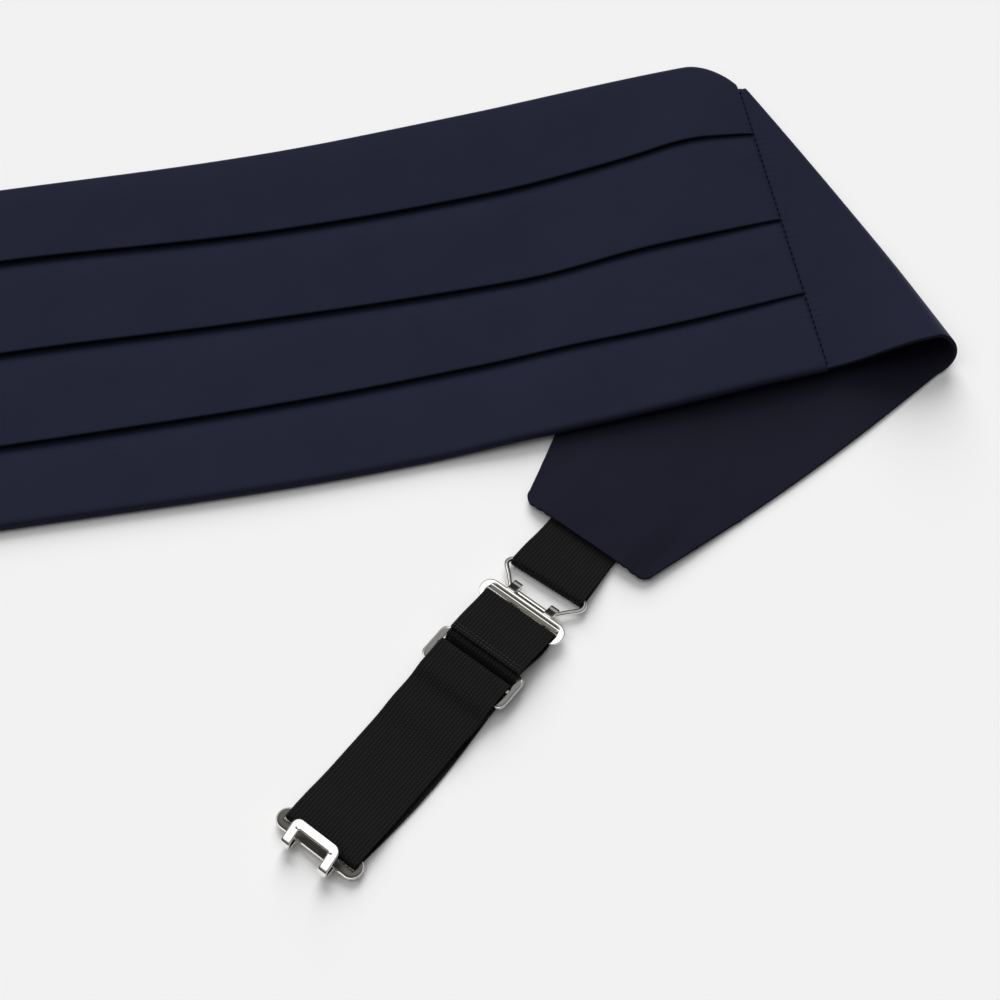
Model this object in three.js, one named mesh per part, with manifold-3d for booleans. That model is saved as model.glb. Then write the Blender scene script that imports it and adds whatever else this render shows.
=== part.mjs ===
// A cummerbund lying on a flat surface. Its pleated front has a tapered side panel at each end.
// The right panel is folded back diagonally under the front, and its elastic tab holds a wire eye.
// An adjustable elastic strap is hooked into that eye. Millimetres, X along the front, Y up its
// height, Z up from the surface.
import * as THREE from 'three';
import { mergeVertices } from 'three/addons/utils/BufferGeometryUtils.js';
import Module from 'manifold-3d';

const wasm = await Module();
wasm.setup();

// Clearances: between two pieces, and between the plies of one folded strap.
const GAP = 0.3;
const PLY_GAP = 0.2;

// Pleated front. Each pleat's lower edge is a lip that overhangs the pleat below it.
const FRONT_HALF = 254;
const FRONT_HEIGHT = 129.4;
const FRONT_BASE = 2.0;
const PLEAT_PLY = 1.0;
const PLEAT_SLIT = 0.5;
const PLEAT_OVERLAP = 4;
const FRONT_CORNER = 16;
const FRONT_CORNER_DROP = 12.5;
const CORNER_SHARPNESS = 1.6;
const SEAM_LEAN = 0.023;

// The front's sections. along is a share of FRONT_HALF; rise and height are shares of
// FRONT_HEIGHT; the pleat columns are shares of the section's own height, from its top edge.
const SECTIONS = [
  { along: -1.0, rise: 0.0, height: 1.0, pleat_1: 0.262, pleat_2: 0.542, pleat_3: 0.772 },
  { along: -0.87, rise: 0.0, height: 1.005, pleat_1: 0.25, pleat_2: 0.546, pleat_3: 0.779 },
  { along: -0.6, rise: 0.0, height: 1.005, pleat_1: 0.266, pleat_2: 0.542, pleat_3: 0.771 },
  { along: -0.3, rise: 0.0, height: 1.0, pleat_1: 0.254, pleat_2: 0.522, pleat_3: 0.77 },
  { along: 0.0, rise: 0.0, height: 1.0, pleat_1: 0.235, pleat_2: 0.511, pleat_3: 0.777 },
  { along: 0.355, rise: 0.005, height: 1.002, pleat_1: 0.257, pleat_2: 0.522, pleat_3: 0.77 },
  { along: 0.65, rise: 0.0445, height: 1.015, pleat_1: 0.271, pleat_2: 0.548, pleat_3: 0.77 },
  { along: 0.835, rise: 0.078, height: 1.028, pleat_1: 0.256, pleat_2: 0.545, pleat_3: 0.781 },
  { along: 0.915, rise: 0.092, height: 1.028, pleat_1: 0.247, pleat_2: 0.547, pleat_3: 0.78 },
  { along: 1.0, rise: 0.101, height: 1.016, pleat_1: 0.262, pleat_2: 0.542, pleat_3: 0.772 },
];

// Side panels: lined satin, tapering to a short straight end with rounded corners.
const PANEL = 1.4;
const PANEL_LENGTH = 177;
const PANEL_END_WIDTH = 47;
const PANEL_CORNER = 4;
const PANEL_EDGE_BOW = 2;

// The fold of the right panel. It starts tight below the front's top corner and opens into a
// rounded loop at its foot.
const FOLD_HEAD_DROP = 18;
const FOLD_HEAD_REACH = 1.1;
const FOLD_FOOT_REACH = 41.5;
const FOLD_FOOT_DROP = 1;
const FOLD_BULGE = 2.6;
const FOLD_HEAD_RADIUS = 1.15;
const FOLD_FOOT_RADIUS = 6.7;
const FOLD_OPENING = 2.2;
const FOLD_SLIP = 5.5;
const UNDER_LENGTH = 149.4;
const UNDER_HEADING = 223.1;
const UNDER_TOP_BOW = 4;
const UNDER_FOOT_BOW = 2;
const SPRING_LIFT = 3;

// Elastic tab at each panel's short end.
const CLOSURE_HEADING = 222.2;
const ELASTIC = 1.0;
const ELASTIC_WIDTH = 25.2;
const TAB_TUCK = 7;
const TAB_REACH = 15.2;

// Wire eye, with its wide side in the tab and its narrow side free.
const WIRE = 1.5;
const EYE_DEPTH = 11.2;
const EYE_NARROW_HALF = 9.9;
const EYE_CORNER = 1.1;
const EYE_BEND = 2;

// Hook plate: a stamped ring with a slot for the strap, and a tongue folded back over it.
const SHEET = 0.9;
const BAR_GAP = 0.35;
const HOOK_HALF = 15.6;
const HOOK_FRONT_BAR = 3.0;
const HOOK_SLOT = 2.0;
const HOOK_REAR_BAR = 2.1;
const HOOK_CORNER = 3.4;
const TONGUE_HALF = 7.8;
const TONGUE_LEG = 2.8;
const TONGUE_BAR = 2.4;
const TONGUE_REACH = 3.4;
const TONGUE_LENGTH = 8.5;
const TONGUE_CORNER = 2.4;

// Adjustable strap and its slide.
const STRAP_SIDE = 0.6;
const FLAP_LENGTH = 17.8;
const SLIDE_LENGTH = 12.4;
const SLIDE_HALF = 15.8;
const SLIDE_THICK = 1.2;
const SLIDE_BAR = 1.2;
const SLIDE_CORNER = 2.2;
const STRAP_REACH = 72.5;
const TAIL_LENGTH = 19;
const UPPER_SLIP = 1.2;
const LOWER_SLIP = 1.4;

// Finishes.
const SATIN = { color: 0x222333, roughness: 0.5, metalness: 0 };
const BLACK_ELASTIC = { color: 0x17181a, roughness: 0.85, metalness: 0 };
const NICKEL = { color: 0xd8d8d6, roughness: 0.15, metalness: 1 };

const lerp = THREE.MathUtils.lerp;
const radians = THREE.MathUtils.degToRad;

function smooth(from, to, value) {
  return THREE.MathUtils.smoothstep(value, from, to);
}

// A mesh's faces are turned outward when they enclose a negative volume.
function closedGeometry(points, faces) {
  let volume = 0;
  for (const [a, b, c] of faces) {
    volume += points[a].dot(new THREE.Vector3().crossVectors(points[b], points[c]));
  }
  const outward = volume < 0 ? faces.map(([a, b, c]) => [a, c, b]) : faces;
  const geometry = new THREE.BufferGeometry();
  const positions = points.flatMap((point) => [point.x, point.y, point.z]);
  geometry.setAttribute('position', new THREE.Float32BufferAttribute(positions, 3));
  geometry.setIndex(outward.flat());
  return geometry;
}

// The triangles of a flat outline, turned the same way as the outline.
function outlineFaces(outline) {
  const faces = THREE.ShapeUtils.triangulateShape(outline, []);
  const [a, b, c] = faces[0];
  const faceTurn = THREE.ShapeUtils.area([outline[a], outline[b], outline[c]]);
  const sameTurn = faceTurn * THREE.ShapeUtils.area(outline) > 0;
  return sameTurn ? faces : faces.map(([p, q, r]) => [p, r, q]);
}

// A solid lofted through rings of equal count; outline is a ring's shape seen end on.
function loft(rings, startOutline, endOutline) {
  const count = rings[0].length;
  const faces = [];
  for (let ring = 0; ring + 1 < rings.length; ring += 1) {
    for (let side = 0; side < count; side += 1) {
      const a = ring * count + side;
      const b = ring * count + ((side + 1) % count);
      faces.push([a, b, b + count], [a, b + count, a + count]);
    }
  }
  const last = (rings.length - 1) * count;
  for (const [a, b, c] of outlineFaces(startOutline)) faces.push([a, c, b]);
  for (const [a, b, c] of outlineFaces(endOutline)) faces.push([last + a, last + b, last + c]);
  return closedGeometry(rings.flat(), faces);
}

// A sheet of even thickness on both sides of a grid of points.
function thickSheet(grid, thickness) {
  const rows = grid.length;
  const columns = grid[0].length;
  const clampRow = (row) => Math.min(Math.max(row, 0), rows - 1);
  const clampColumn = (column) => Math.min(Math.max(column, 0), columns - 1);
  const points = [];
  for (const sign of [1, -1]) {
    for (let row = 0; row < rows; row += 1) {
      for (let column = 0; column < columns; column += 1) {
        const along = new THREE.Vector3().subVectors(
          grid[row][clampColumn(column + 1)], grid[row][clampColumn(column - 1)]);
        const across = new THREE.Vector3().subVectors(
          grid[clampRow(row + 1)][column], grid[clampRow(row - 1)][column]);
        const normal = across.cross(along).normalize();
        points.push(grid[row][column].clone().addScaledVector(normal, (sign * thickness) / 2));
      }
    }
  }
  const top = (row, column) => row * columns + column;
  const under = (row, column) => rows * columns + top(row, column);
  const faces = [];
  const quad = (a, b, c, d) => faces.push([a, b, c], [a, c, d]);
  for (let row = 0; row + 1 < rows; row += 1) {
    for (let column = 0; column + 1 < columns; column += 1) {
      quad(top(row, column), top(row + 1, column), top(row + 1, column + 1), top(row, column + 1));
      quad(under(row, column), under(row, column + 1),
        under(row + 1, column + 1), under(row + 1, column));
    }
  }
  for (let row = 0; row + 1 < rows; row += 1) {
    quad(top(row, 0), under(row, 0), under(row + 1, 0), top(row + 1, 0));
    const end = columns - 1;
    quad(top(row + 1, end), under(row + 1, end), under(row, end), top(row, end));
  }
  for (let column = 0; column + 1 < columns; column += 1) {
    quad(top(0, column + 1), under(0, column + 1), under(0, column), top(0, column));
    const end = rows - 1;
    quad(top(end, column), under(end, column), under(end, column + 1), top(end, column + 1));
  }
  return closedGeometry(points, faces);
}

// One value of the sections' table at a place along the front, on a smooth curve.
function sectionValue(column, along) {
  let next = SECTIONS.findIndex((row) => row.along >= along);
  if (next <= 0) next = 1;
  const from = SECTIONS[next - 1];
  const to = SECTIONS[next];
  const before = SECTIONS[Math.max(next - 2, 0)];
  const after = SECTIONS[Math.min(next + 1, SECTIONS.length - 1)];
  const span = to.along - from.along;
  const share = (along - from.along) / span;
  const slopeFrom = ((to[column] - before[column]) / (to.along - before.along)) * span;
  const slopeTo = ((after[column] - from[column]) / (after.along - from.along)) * span;
  const square = share * share;
  const cube = square * share;
  return from[column] * (2 * cube - 3 * square + 1) + slopeFrom * (cube - 2 * square + share)
    + to[column] * (3 * square - 2 * cube) + slopeTo * (cube - square);
}

// The front's edges and pleat lines at a place along it, as heights on Y.
function frontLines(along) {
  const height = sectionValue('height', along) * FRONT_HEIGHT;
  const fullTop = sectionValue('rise', along) * FRONT_HEIGHT + height / 2;
  const intoCorner = Math.max(along * FRONT_HALF - (FRONT_HALF - FRONT_CORNER), 0) / FRONT_CORNER;
  const line = (column) => fullTop - height * sectionValue(column, along);
  return {
    top: fullTop - FRONT_CORNER_DROP * intoCorner ** CORNER_SHARPNESS,
    pleats: [line('pleat_1'), line('pleat_2'), line('pleat_3')],
    bottom: fullTop - height,
    fullTop,
  };
}

const seamLines = frontLines(1);
const seamMiddle = (seamLines.fullTop + seamLines.bottom) / 2;

function seamX(y) {
  return FRONT_HALF - SEAM_LEAN * (y - seamMiddle);
}

// A flat closure frame: reach runs outward from the panel's short end, side lies across it.
function closureFrame(middle, heading) {
  const angle = radians(heading);
  const outward = new THREE.Vector2(Math.cos(angle), Math.sin(angle));
  const side = new THREE.Vector2(-outward.y, outward.x);
  return { middle, angle, outward, side };
}

function closurePoint(frame, reach, side) {
  return frame.middle.clone().addScaledVector(frame.outward, reach).addScaledVector(frame.side, side);
}

// The fold's line in plan, from its head to its foot, and its opening.
const foldHead = new THREE.Vector2(
  seamX(seamLines.fullTop - FOLD_HEAD_DROP) + GAP + FOLD_HEAD_REACH + FOLD_HEAD_RADIUS,
  seamLines.fullTop - FOLD_HEAD_DROP);
const foldFoot = new THREE.Vector2(
  seamX(seamLines.bottom) + FOLD_FOOT_REACH, seamLines.bottom - FOLD_FOOT_DROP);
const foldDown = foldFoot.clone().sub(foldHead).normalize();
const foldInward = new THREE.Vector2(foldDown.y, -foldDown.x);

function foldTip(share) {
  const bulge = 4 * FOLD_BULGE * share * (1 - share);
  return foldHead.clone().lerp(foldFoot, share).addScaledVector(foldInward, -bulge);
}

function foldRadius(share) {
  return lerp(FOLD_HEAD_RADIUS, FOLD_FOOT_RADIUS, share ** FOLD_OPENING);
}

const underAngle = radians(UNDER_HEADING);
const rightEnd = foldTip(0.5).add(
  new THREE.Vector2(Math.cos(underAngle), Math.sin(underAngle)).multiplyScalar(UNDER_LENGTH));
const rightClosure = closureFrame(rightEnd, CLOSURE_HEADING);
const leftMiddle = (frontLines(-1).top + frontLines(-1).bottom) / 2;
const leftEnd = new THREE.Vector2(-FRONT_HALF - GAP - PANEL_LENGTH, leftMiddle);
const leftClosure = closureFrame(leftEnd, 180);

// How far the front is carried above the surface by the folded panel below it.
const underCorner = closurePoint(rightClosure, 0, -PANEL_END_WIDTH / 2);
const underEdge = foldHead.clone().sub(underCorner).normalize();
const LIFT_RAMP = 28;
const LIFT_EARLY = UNDER_TOP_BOW + 2;

function frontLift(x, y) {
  const offset = new THREE.Vector2(x, y).sub(underCorner);
  const inside = offset.x * underEdge.y - offset.y * underEdge.x;
  const carried = (PANEL + GAP) * smooth(-LIFT_EARLY - LIFT_RAMP, -LIFT_EARLY, inside);
  const towardSeam = smooth(underCorner.x, FRONT_HALF, x);
  const towardBottom = (seamLines.fullTop - y) / FRONT_HEIGHT;
  return carried + SPRING_LIFT * towardSeam * towardBottom;
}

// The front's outline across its height, from the top edge down its face and back below.
const EDGE_ROUND = 1.6;
const UNDERSIDE_STEPS = 9;
const PLEAT_SHARES = [0.12, 0.45, 0.8];
const PLEAT_ARCH = 0.7;

function frontOutline(lines) {
  const slitTop = FRONT_BASE + PLEAT_SLIT;
  const lipTop = slitTop + PLEAT_PLY;
  const outline = [
    [lines.top - EDGE_ROUND, 0],
    [lines.top - EDGE_ROUND * 0.2, FRONT_BASE * 0.25],
    [lines.top, FRONT_BASE * 0.6],
    [lines.top - EDGE_ROUND * 0.25, FRONT_BASE],
    [lines.top - EDGE_ROUND, FRONT_BASE + PLEAT_SLIT],
  ];
  const edges = [lines.top - EDGE_ROUND, ...lines.pleats, lines.bottom];
  for (let pleat = 0; pleat < edges.length - 1; pleat += 1) {
    const upper = edges[pleat];
    const lower = edges[pleat + 1];
    const startHeight = pleat === 0 ? FRONT_BASE + PLEAT_SLIT : FRONT_BASE;
    if (pleat > 0) outline.push([upper + PLEAT_OVERLAP, FRONT_BASE], [upper, FRONT_BASE]);
    for (const share of PLEAT_SHARES) {
      const rise = share ** PLEAT_ARCH;
      outline.push([lerp(upper, lower, share), lerp(startHeight, lipTop, rise)]);
    }
    if (pleat < edges.length - 2) {
      outline.push([lower + PLEAT_PLY * 0.6, lipTop]);
      outline.push([lower, lipTop - PLEAT_PLY * 0.45]);
      outline.push([lower + PLEAT_PLY * 0.3, slitTop + PLEAT_PLY * 0.05]);
      outline.push([lower + PLEAT_OVERLAP, slitTop]);
    }
  }
  outline.push([lines.bottom + EDGE_ROUND, lipTop * 0.97]);
  outline.push([lines.bottom + EDGE_ROUND * 0.3, lipTop * 0.75]);
  outline.push([lines.bottom, lipTop * 0.4]);
  outline.push([lines.bottom + EDGE_ROUND * 0.4, lipTop * 0.08]);
  for (let step = 1; step < UNDERSIDE_STEPS; step += 1) {
    const share = step / UNDERSIDE_STEPS;
    outline.push([lerp(lines.bottom, lines.top - EDGE_ROUND, share), 0]);
  }
  return outline.map(([y, z]) => new THREE.Vector2(y, z));
}

// Places along the front: even steps, closer together near the folded corner.
const EVEN_STEPS = 22;
const CORNER_STEPS = 5;

function frontStations() {
  const cornerStart = 1 - FRONT_CORNER / FRONT_HALF;
  const stations = [];
  for (let step = 0; step < EVEN_STEPS; step += 1) {
    stations.push(lerp(-1, cornerStart, step / EVEN_STEPS));
  }
  for (let step = 0; step <= CORNER_STEPS; step += 1) {
    stations.push(lerp(cornerStart, 1, step / CORNER_STEPS));
  }
  return stations;
}

function pleatedFront() {
  const stations = frontStations();
  const outlines = stations.map((along) => frontOutline(frontLines(along)));
  const rings = outlines.map((outline, index) => outline.map((point) => {
    const along = stations[index];
    const lean = SEAM_LEAN * (point.x - seamMiddle) * smooth(0, 1, along);
    const x = along * FRONT_HALF - lean;
    return new THREE.Vector3(x, point.x, point.y + frontLift(x, point.x));
  }));
  return loft(rings, outlines[0], outlines[outlines.length - 1]);
}

// Shares from 0 to 1, closer together at both ends or only at the far one.
function evenShares(count) {
  return Array.from({ length: count + 1 }, (_, step) => step / count);
}

function easedShares(count) {
  return evenShares(count).map((share) => 0.5 - 0.5 * Math.cos(Math.PI * share));
}

function lateShares(count) {
  return evenShares(count).map((share) => Math.sin((Math.PI / 2) * share));
}

// A point of a panel's short end, with the end's rounded corners; share runs across it.
function panelEnd(frame, share) {
  const side = (share - 0.5) * PANEL_END_WIDTH;
  const intoCorner = Math.max(PANEL_CORNER - (PANEL_END_WIDTH / 2 - Math.abs(side)), 0);
  const pulled = PANEL_CORNER - Math.sqrt(PANEL_CORNER ** 2 - intoCorner ** 2);
  return closurePoint(frame, -pulled, side);
}

// A panel's short end lies over its elastic tab. It is raised there, and settles further in and
// to both sides of the tab.
const TAB_STACK = 2 * ELASTIC + PLY_GAP + GAP;
const TAB_CLEARANCE = 2;
const TAB_RAMP = 20;
const TAB_SIDE_CLEARANCE = 1;
const TAB_SIDE_RAMP = 8;

function tabLift(frame, plan) {
  const offset = plan.clone().sub(frame.middle);
  const inside = -offset.dot(frame.outward);
  const beside = Math.abs(offset.dot(frame.side)) - ELASTIC_WIDTH / 2;
  const rampStart = TAB_TUCK + TAB_CLEARANCE;
  const settledIn = smooth(rampStart, rampStart + TAB_RAMP, inside);
  const settledBeside = smooth(TAB_SIDE_CLEARANCE, TAB_SIDE_CLEARANCE + TAB_SIDE_RAMP, beside);
  return TAB_STACK * (1 - settledIn) * (1 - settledBeside);
}

// The right panel is one sheet: out from the seam, round the fold, back under the front.
const PANEL_ROWS = 16;
const SEAM_INSET = 1;
const UPPER_STEPS = 6;
const FOLD_STEPS = 10;
const UNDER_STEPS = 16;

function sidePanelRight() {
  const grid = easedShares(PANEL_ROWS).map((share) => {
    const radius = foldRadius(share);
    const slip = FOLD_SLIP * share ** 2;
    const seamY = lerp(foldHead.y, seamLines.bottom + SEAM_INSET, share);
    const seamPlace = new THREE.Vector2(seamX(seamY) + GAP, seamY);
    const seamLift = frontLift(seamX(seamY), seamY) + (FRONT_BASE + PLEAT_PLY) / 2;
    const tip = foldTip(share);
    const crest = tip.clone().addScaledVector(foldInward, radius).addScaledVector(foldDown, -slip);
    const touch = tip.clone().addScaledVector(foldInward, radius);
    const crestHeight = PANEL / 2 + 2 * radius;
    const row = easedShares(UPPER_STEPS).slice(0, -1).map((step) => {
      const plan = seamPlace.clone().lerp(crest, step);
      return new THREE.Vector3(plan.x, plan.y, lerp(seamLift, crestHeight, smooth(0, 1, step)));
    });
    for (const step of evenShares(FOLD_STEPS)) {
      const turn = Math.PI * (0.5 - step);
      const risen = (1 + Math.sin(turn)) / 2;
      const plan = tip.clone()
        .addScaledVector(foldInward, radius * (1 - Math.cos(turn)))
        .addScaledVector(foldDown, -slip * risen ** 2);
      row.push(new THREE.Vector3(plan.x, plan.y, PANEL / 2 + 2 * radius * risen));
    }
    const end = panelEnd(rightClosure, share);
    const bow = lerp(-UNDER_TOP_BOW, UNDER_FOOT_BOW, share);
    for (const step of lateShares(UNDER_STEPS).slice(1)) {
      const plan = touch.clone().lerp(end, step);
      plan.addScaledVector(rightClosure.side, bow * Math.sin(Math.PI * step));
      row.push(new THREE.Vector3(plan.x, plan.y, PANEL / 2 + tabLift(rightClosure, plan)));
    }
    return row;
  });
  return thickSheet(grid, PANEL);
}

// The left panel lies flat, out from its seam to its short end. SEAM_SETTLE is the share of its
// length in which it comes down from the seam.
const FLAT_ROWS = 14;
const FLAT_STEPS = 14;
const SEAM_SETTLE = 0.2;

function sidePanelLeft() {
  const lines = frontLines(-1);
  const grid = easedShares(FLAT_ROWS).map((share) => {
    const seamY = lerp(lines.bottom + SEAM_INSET, lines.top - SEAM_INSET, share);
    const seamPlace = new THREE.Vector2(-FRONT_HALF - GAP, seamY);
    const end = panelEnd(leftClosure, 1 - share);
    const bow = lerp(PANEL_EDGE_BOW, -PANEL_EDGE_BOW, share);
    return lateShares(FLAT_STEPS).map((step) => {
      const plan = seamPlace.clone().lerp(end, step);
      plan.y += bow * Math.sin(Math.PI * step);
      const settled = smooth(0, SEAM_SETTLE, step);
      const seamRise = ((FRONT_BASE + PLEAT_PLY - PANEL) / 2) * (1 - settled);
      return new THREE.Vector3(plan.x, plan.y, PANEL / 2 + seamRise + tabLift(leftClosure, plan));
    });
  });
  return thickSheet(grid, PANEL);
}

// A route in side view, as points with the sideways slip of that stretch.
class Route {
  constructor(reach, height) {
    this.points = [{ reach, height, slip: 0 }];
  }

  get end() {
    return this.points[this.points.length - 1];
  }

  line(reach, height, steps = 1, slip = 0) {
    const start = this.end;
    for (let step = 1; step <= steps; step += 1) {
      const share = step / steps;
      this.points.push({
        reach: lerp(start.reach, reach, share),
        height: lerp(start.height, height, share),
        slip: slip * Math.sin(Math.PI * share),
      });
    }
    return this;
  }

  // An S from level to level, or from level to level the other way round.
  sweep(reach, height, steps, slip = 0) {
    const start = this.end;
    const middle = (start.reach + reach) / 2;
    const curve = new THREE.CubicBezierCurve(
      new THREE.Vector2(start.reach, start.height), new THREE.Vector2(middle, start.height),
      new THREE.Vector2(middle, height), new THREE.Vector2(reach, height));
    for (let step = 1; step <= steps; step += 1) {
      const point = curve.getPoint(step / steps);
      const slipped = slip * Math.sin((Math.PI * step) / steps);
      this.points.push({ reach: point.x, height: point.y, slip: slipped });
    }
    return this;
  }

  // A half turn from the present point to the point straight above or below it.
  turn(height, outward, steps = 8) {
    const start = this.end;
    const radius = Math.abs(height - start.height) / 2;
    const centre = (height + start.height) / 2;
    for (let step = 1; step <= steps; step += 1) {
      const angle = (Math.PI * step) / steps;
      this.points.push({
        reach: start.reach + outward * radius * Math.sin(angle),
        height: centre + (start.height - centre) * Math.cos(angle),
        slip: 0,
      });
    }
    return this;
  }
}

// An elastic ribbon along a route: the route's side outline, given its width.
function ribbon(route, thickness, width) {
  const { points } = route;
  const face = (sign) => points.map((point, index) => {
    const before = points[Math.max(index - 1, 0)];
    const after = points[Math.min(index + 1, points.length - 1)];
    const tangent = new THREE.Vector2(after.reach - before.reach, after.height - before.height);
    tangent.normalize().multiplyScalar((sign * thickness) / 2);
    return { x: point.reach - tangent.y, z: point.height + tangent.x, slip: point.slip };
  });
  const outline = [...face(1), ...face(-1).reverse()];
  const flat = outline.map((point) => new THREE.Vector2(point.x, point.z));
  const rings = [-0.5, 0.5].map((side) => outline.map(
    (point) => new THREE.Vector3(point.x, side * width + point.slip, point.z)));
  return loft(rings, flat, flat);
}

const eyeHeight = ELASTIC + GAP + WIRE / 2;
const tabTurn = WIRE / 2 + GAP + ELASTIC / 2;

function elasticTab() {
  const top = ELASTIC * 1.5 + PLY_GAP;
  const route = new Route(-TAB_TUCK, ELASTIC / 2)
    .line(TAB_REACH, ELASTIC / 2, 4)
    .turn(eyeHeight + tabTurn, 1)
    .sweep(1, top, 8)
    .line(-TAB_TUCK, top, 2);
  return ribbon(route, ELASTIC, ELASTIC_WIDTH);
}

// The eye's wire follows half an outline and its mirror image.
const EYE_WIDE_HALF = ELASTIC_WIDTH / 2 + GAP + WIRE / 2;
const WIRE_SIDES = 8;
const EYE_STEPS = 60;

function wireEye() {
  const wide = TAB_REACH;
  const narrow = TAB_REACH + EYE_DEPTH;
  const corner = EYE_CORNER;
  const bend = EYE_BEND;
  const half = [
    [wide, EYE_WIDE_HALF - corner * 2.2],
    [wide, EYE_WIDE_HALF - corner],
    [wide + corner * 0.3, EYE_WIDE_HALF - corner * 0.3],
    [wide + corner, EYE_WIDE_HALF],
    [lerp(wide, narrow, 0.42), EYE_WIDE_HALF],
    [lerp(wide, narrow, 0.66), lerp(EYE_WIDE_HALF, EYE_NARROW_HALF, 0.72)],
    [narrow - bend, EYE_NARROW_HALF],
    [narrow - bend * 0.25, EYE_NARROW_HALF - bend * 0.4],
    [narrow, EYE_NARROW_HALF - bend * 1.2],
  ];
  const outline = [...half, ...half.map(([reach, side]) => [reach, -side]).reverse()];
  const controls = outline.map(([reach, side]) => new THREE.Vector3(reach, side, eyeHeight));
  const curve = new THREE.CatmullRomCurve3(controls, true, 'centripetal');
  return mergeVertices(bare(new THREE.TubeGeometry(curve, EYE_STEPS, WIRE / 2, WIRE_SIDES, true)));
}

function bare(geometry) {
  const copy = geometry.clone();
  copy.deleteAttribute('normal');
  copy.deleteAttribute('uv');
  return copy;
}

function toManifold(geometry) {
  const merged = mergeVertices(bare(geometry), 1e-4);
  const mesh = new wasm.Mesh({
    numProp: 3,
    vertProperties: new Float32Array(merged.attributes.position.array),
    triVerts: new Uint32Array(merged.index.array),
  });
  return new wasm.Manifold(mesh);
}

function fromManifold(solid) {
  const mesh = solid.getMesh();
  const geometry = new THREE.BufferGeometry();
  geometry.setAttribute('position', new THREE.BufferAttribute(mesh.vertProperties, 3));
  geometry.setIndex(new THREE.BufferAttribute(mesh.triVerts, 1));
  return geometry;
}

// A rectangle with round corners, from its low to its high corner.
const CORNER_TURNS = 6;

function roundedRectangle(lowX, lowY, highX, highY, radius) {
  const corners = [
    [highX - radius, lowY + radius], [highX - radius, highY - radius],
    [lowX + radius, highY - radius], [lowX + radius, lowY + radius],
  ];
  const points = corners.flatMap(([x, y], corner) => (
    Array.from({ length: CORNER_TURNS + 1 }, (_, step) => {
      const angle = (Math.PI / 2) * (corner - 1 + step / CORNER_TURNS);
      return new THREE.Vector2(x + radius * Math.cos(angle), y + radius * Math.sin(angle));
    })));
  return new THREE.Shape(points);
}

function plate(shape, depth, bottom) {
  const settings = { depth, bevelEnabled: false, curveSegments: 6 };
  return new THREE.ExtrudeGeometry(shape, settings).translate(0, 0, bottom);
}

// The hook in its own frame: its plate lies level with its front edge on the origin, and its
// tongue leaves that edge on two legs, turns over and comes back above the plate.
const hookDepth = HOOK_FRONT_BAR + HOOK_SLOT + HOOK_REAR_BAR;
const slotHalf = ELASTIC_WIDTH / 2 + GAP;
const tongueMouth = WIRE + 2 * GAP;

// A block that cuts a slot for the elastic through a level plate, between two reaches.
function slotCutter(from, to, height) {
  const block = new THREE.BoxGeometry(to - from, 2 * slotHalf, 4 * (SHEET + SLIDE_THICK));
  return toManifold(block.translate((from + to) / 2, 0, height));
}

function hookPlate() {
  const ring = roundedRectangle(-hookDepth, -HOOK_HALF, 0, HOOK_HALF, HOOK_CORNER);
  const slot = slotCutter(-HOOK_FRONT_BAR - HOOK_SLOT, -HOOK_FRONT_BAR, 0);
  const turnOuter = SHEET + tongueMouth / 2;
  const turnInner = tongueMouth / 2;
  const turnX = TONGUE_REACH - turnOuter;
  const turnZ = SHEET / 2 + turnInner;
  const leg = new THREE.Shape();
  leg.moveTo(-HOOK_FRONT_BAR / 2, -SHEET / 2);
  leg.absarc(turnX, turnZ, turnOuter, -Math.PI / 2, Math.PI / 2);
  leg.lineTo(turnX - SHEET, turnZ + turnOuter);
  leg.lineTo(turnX - SHEET, turnZ + turnInner);
  leg.absarc(turnX, turnZ, turnInner, Math.PI / 2, -Math.PI / 2, true);
  leg.lineTo(-HOOK_FRONT_BAR / 2, SHEET / 2);
  const legs = [-1, 1].map((side) => {
    const middle = side * (TONGUE_HALF - TONGUE_LEG / 2);
    return plate(leg, TONGUE_LEG, -TONGUE_LEG / 2).rotateX(Math.PI / 2).translate(0, middle, 0);
  });
  const back = TONGUE_REACH - TONGUE_LENGTH;
  const inner = TONGUE_HALF - TONGUE_LEG;
  const tongue = new THREE.Shape();
  tongue.moveTo(turnX, -TONGUE_HALF);
  tongue.lineTo(turnX, -inner);
  tongue.lineTo(back + TONGUE_BAR, -inner);
  tongue.lineTo(back + TONGUE_BAR, inner);
  tongue.lineTo(turnX, inner);
  tongue.lineTo(turnX, TONGUE_HALF);
  tongue.absarc(back + TONGUE_CORNER, TONGUE_HALF - TONGUE_CORNER, TONGUE_CORNER,
    Math.PI / 2, Math.PI);
  tongue.absarc(back + TONGUE_CORNER, -TONGUE_HALF + TONGUE_CORNER, TONGUE_CORNER,
    Math.PI, Math.PI * 1.5);
  const parts = [...legs, plate(tongue, SHEET, turnZ + turnInner)].map(toManifold);
  const slotted = toManifold(plate(ring, SHEET, -SHEET / 2)).subtract(slot);
  return fromManifold(parts.reduce((whole, part) => whole.add(part), slotted));
}

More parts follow.
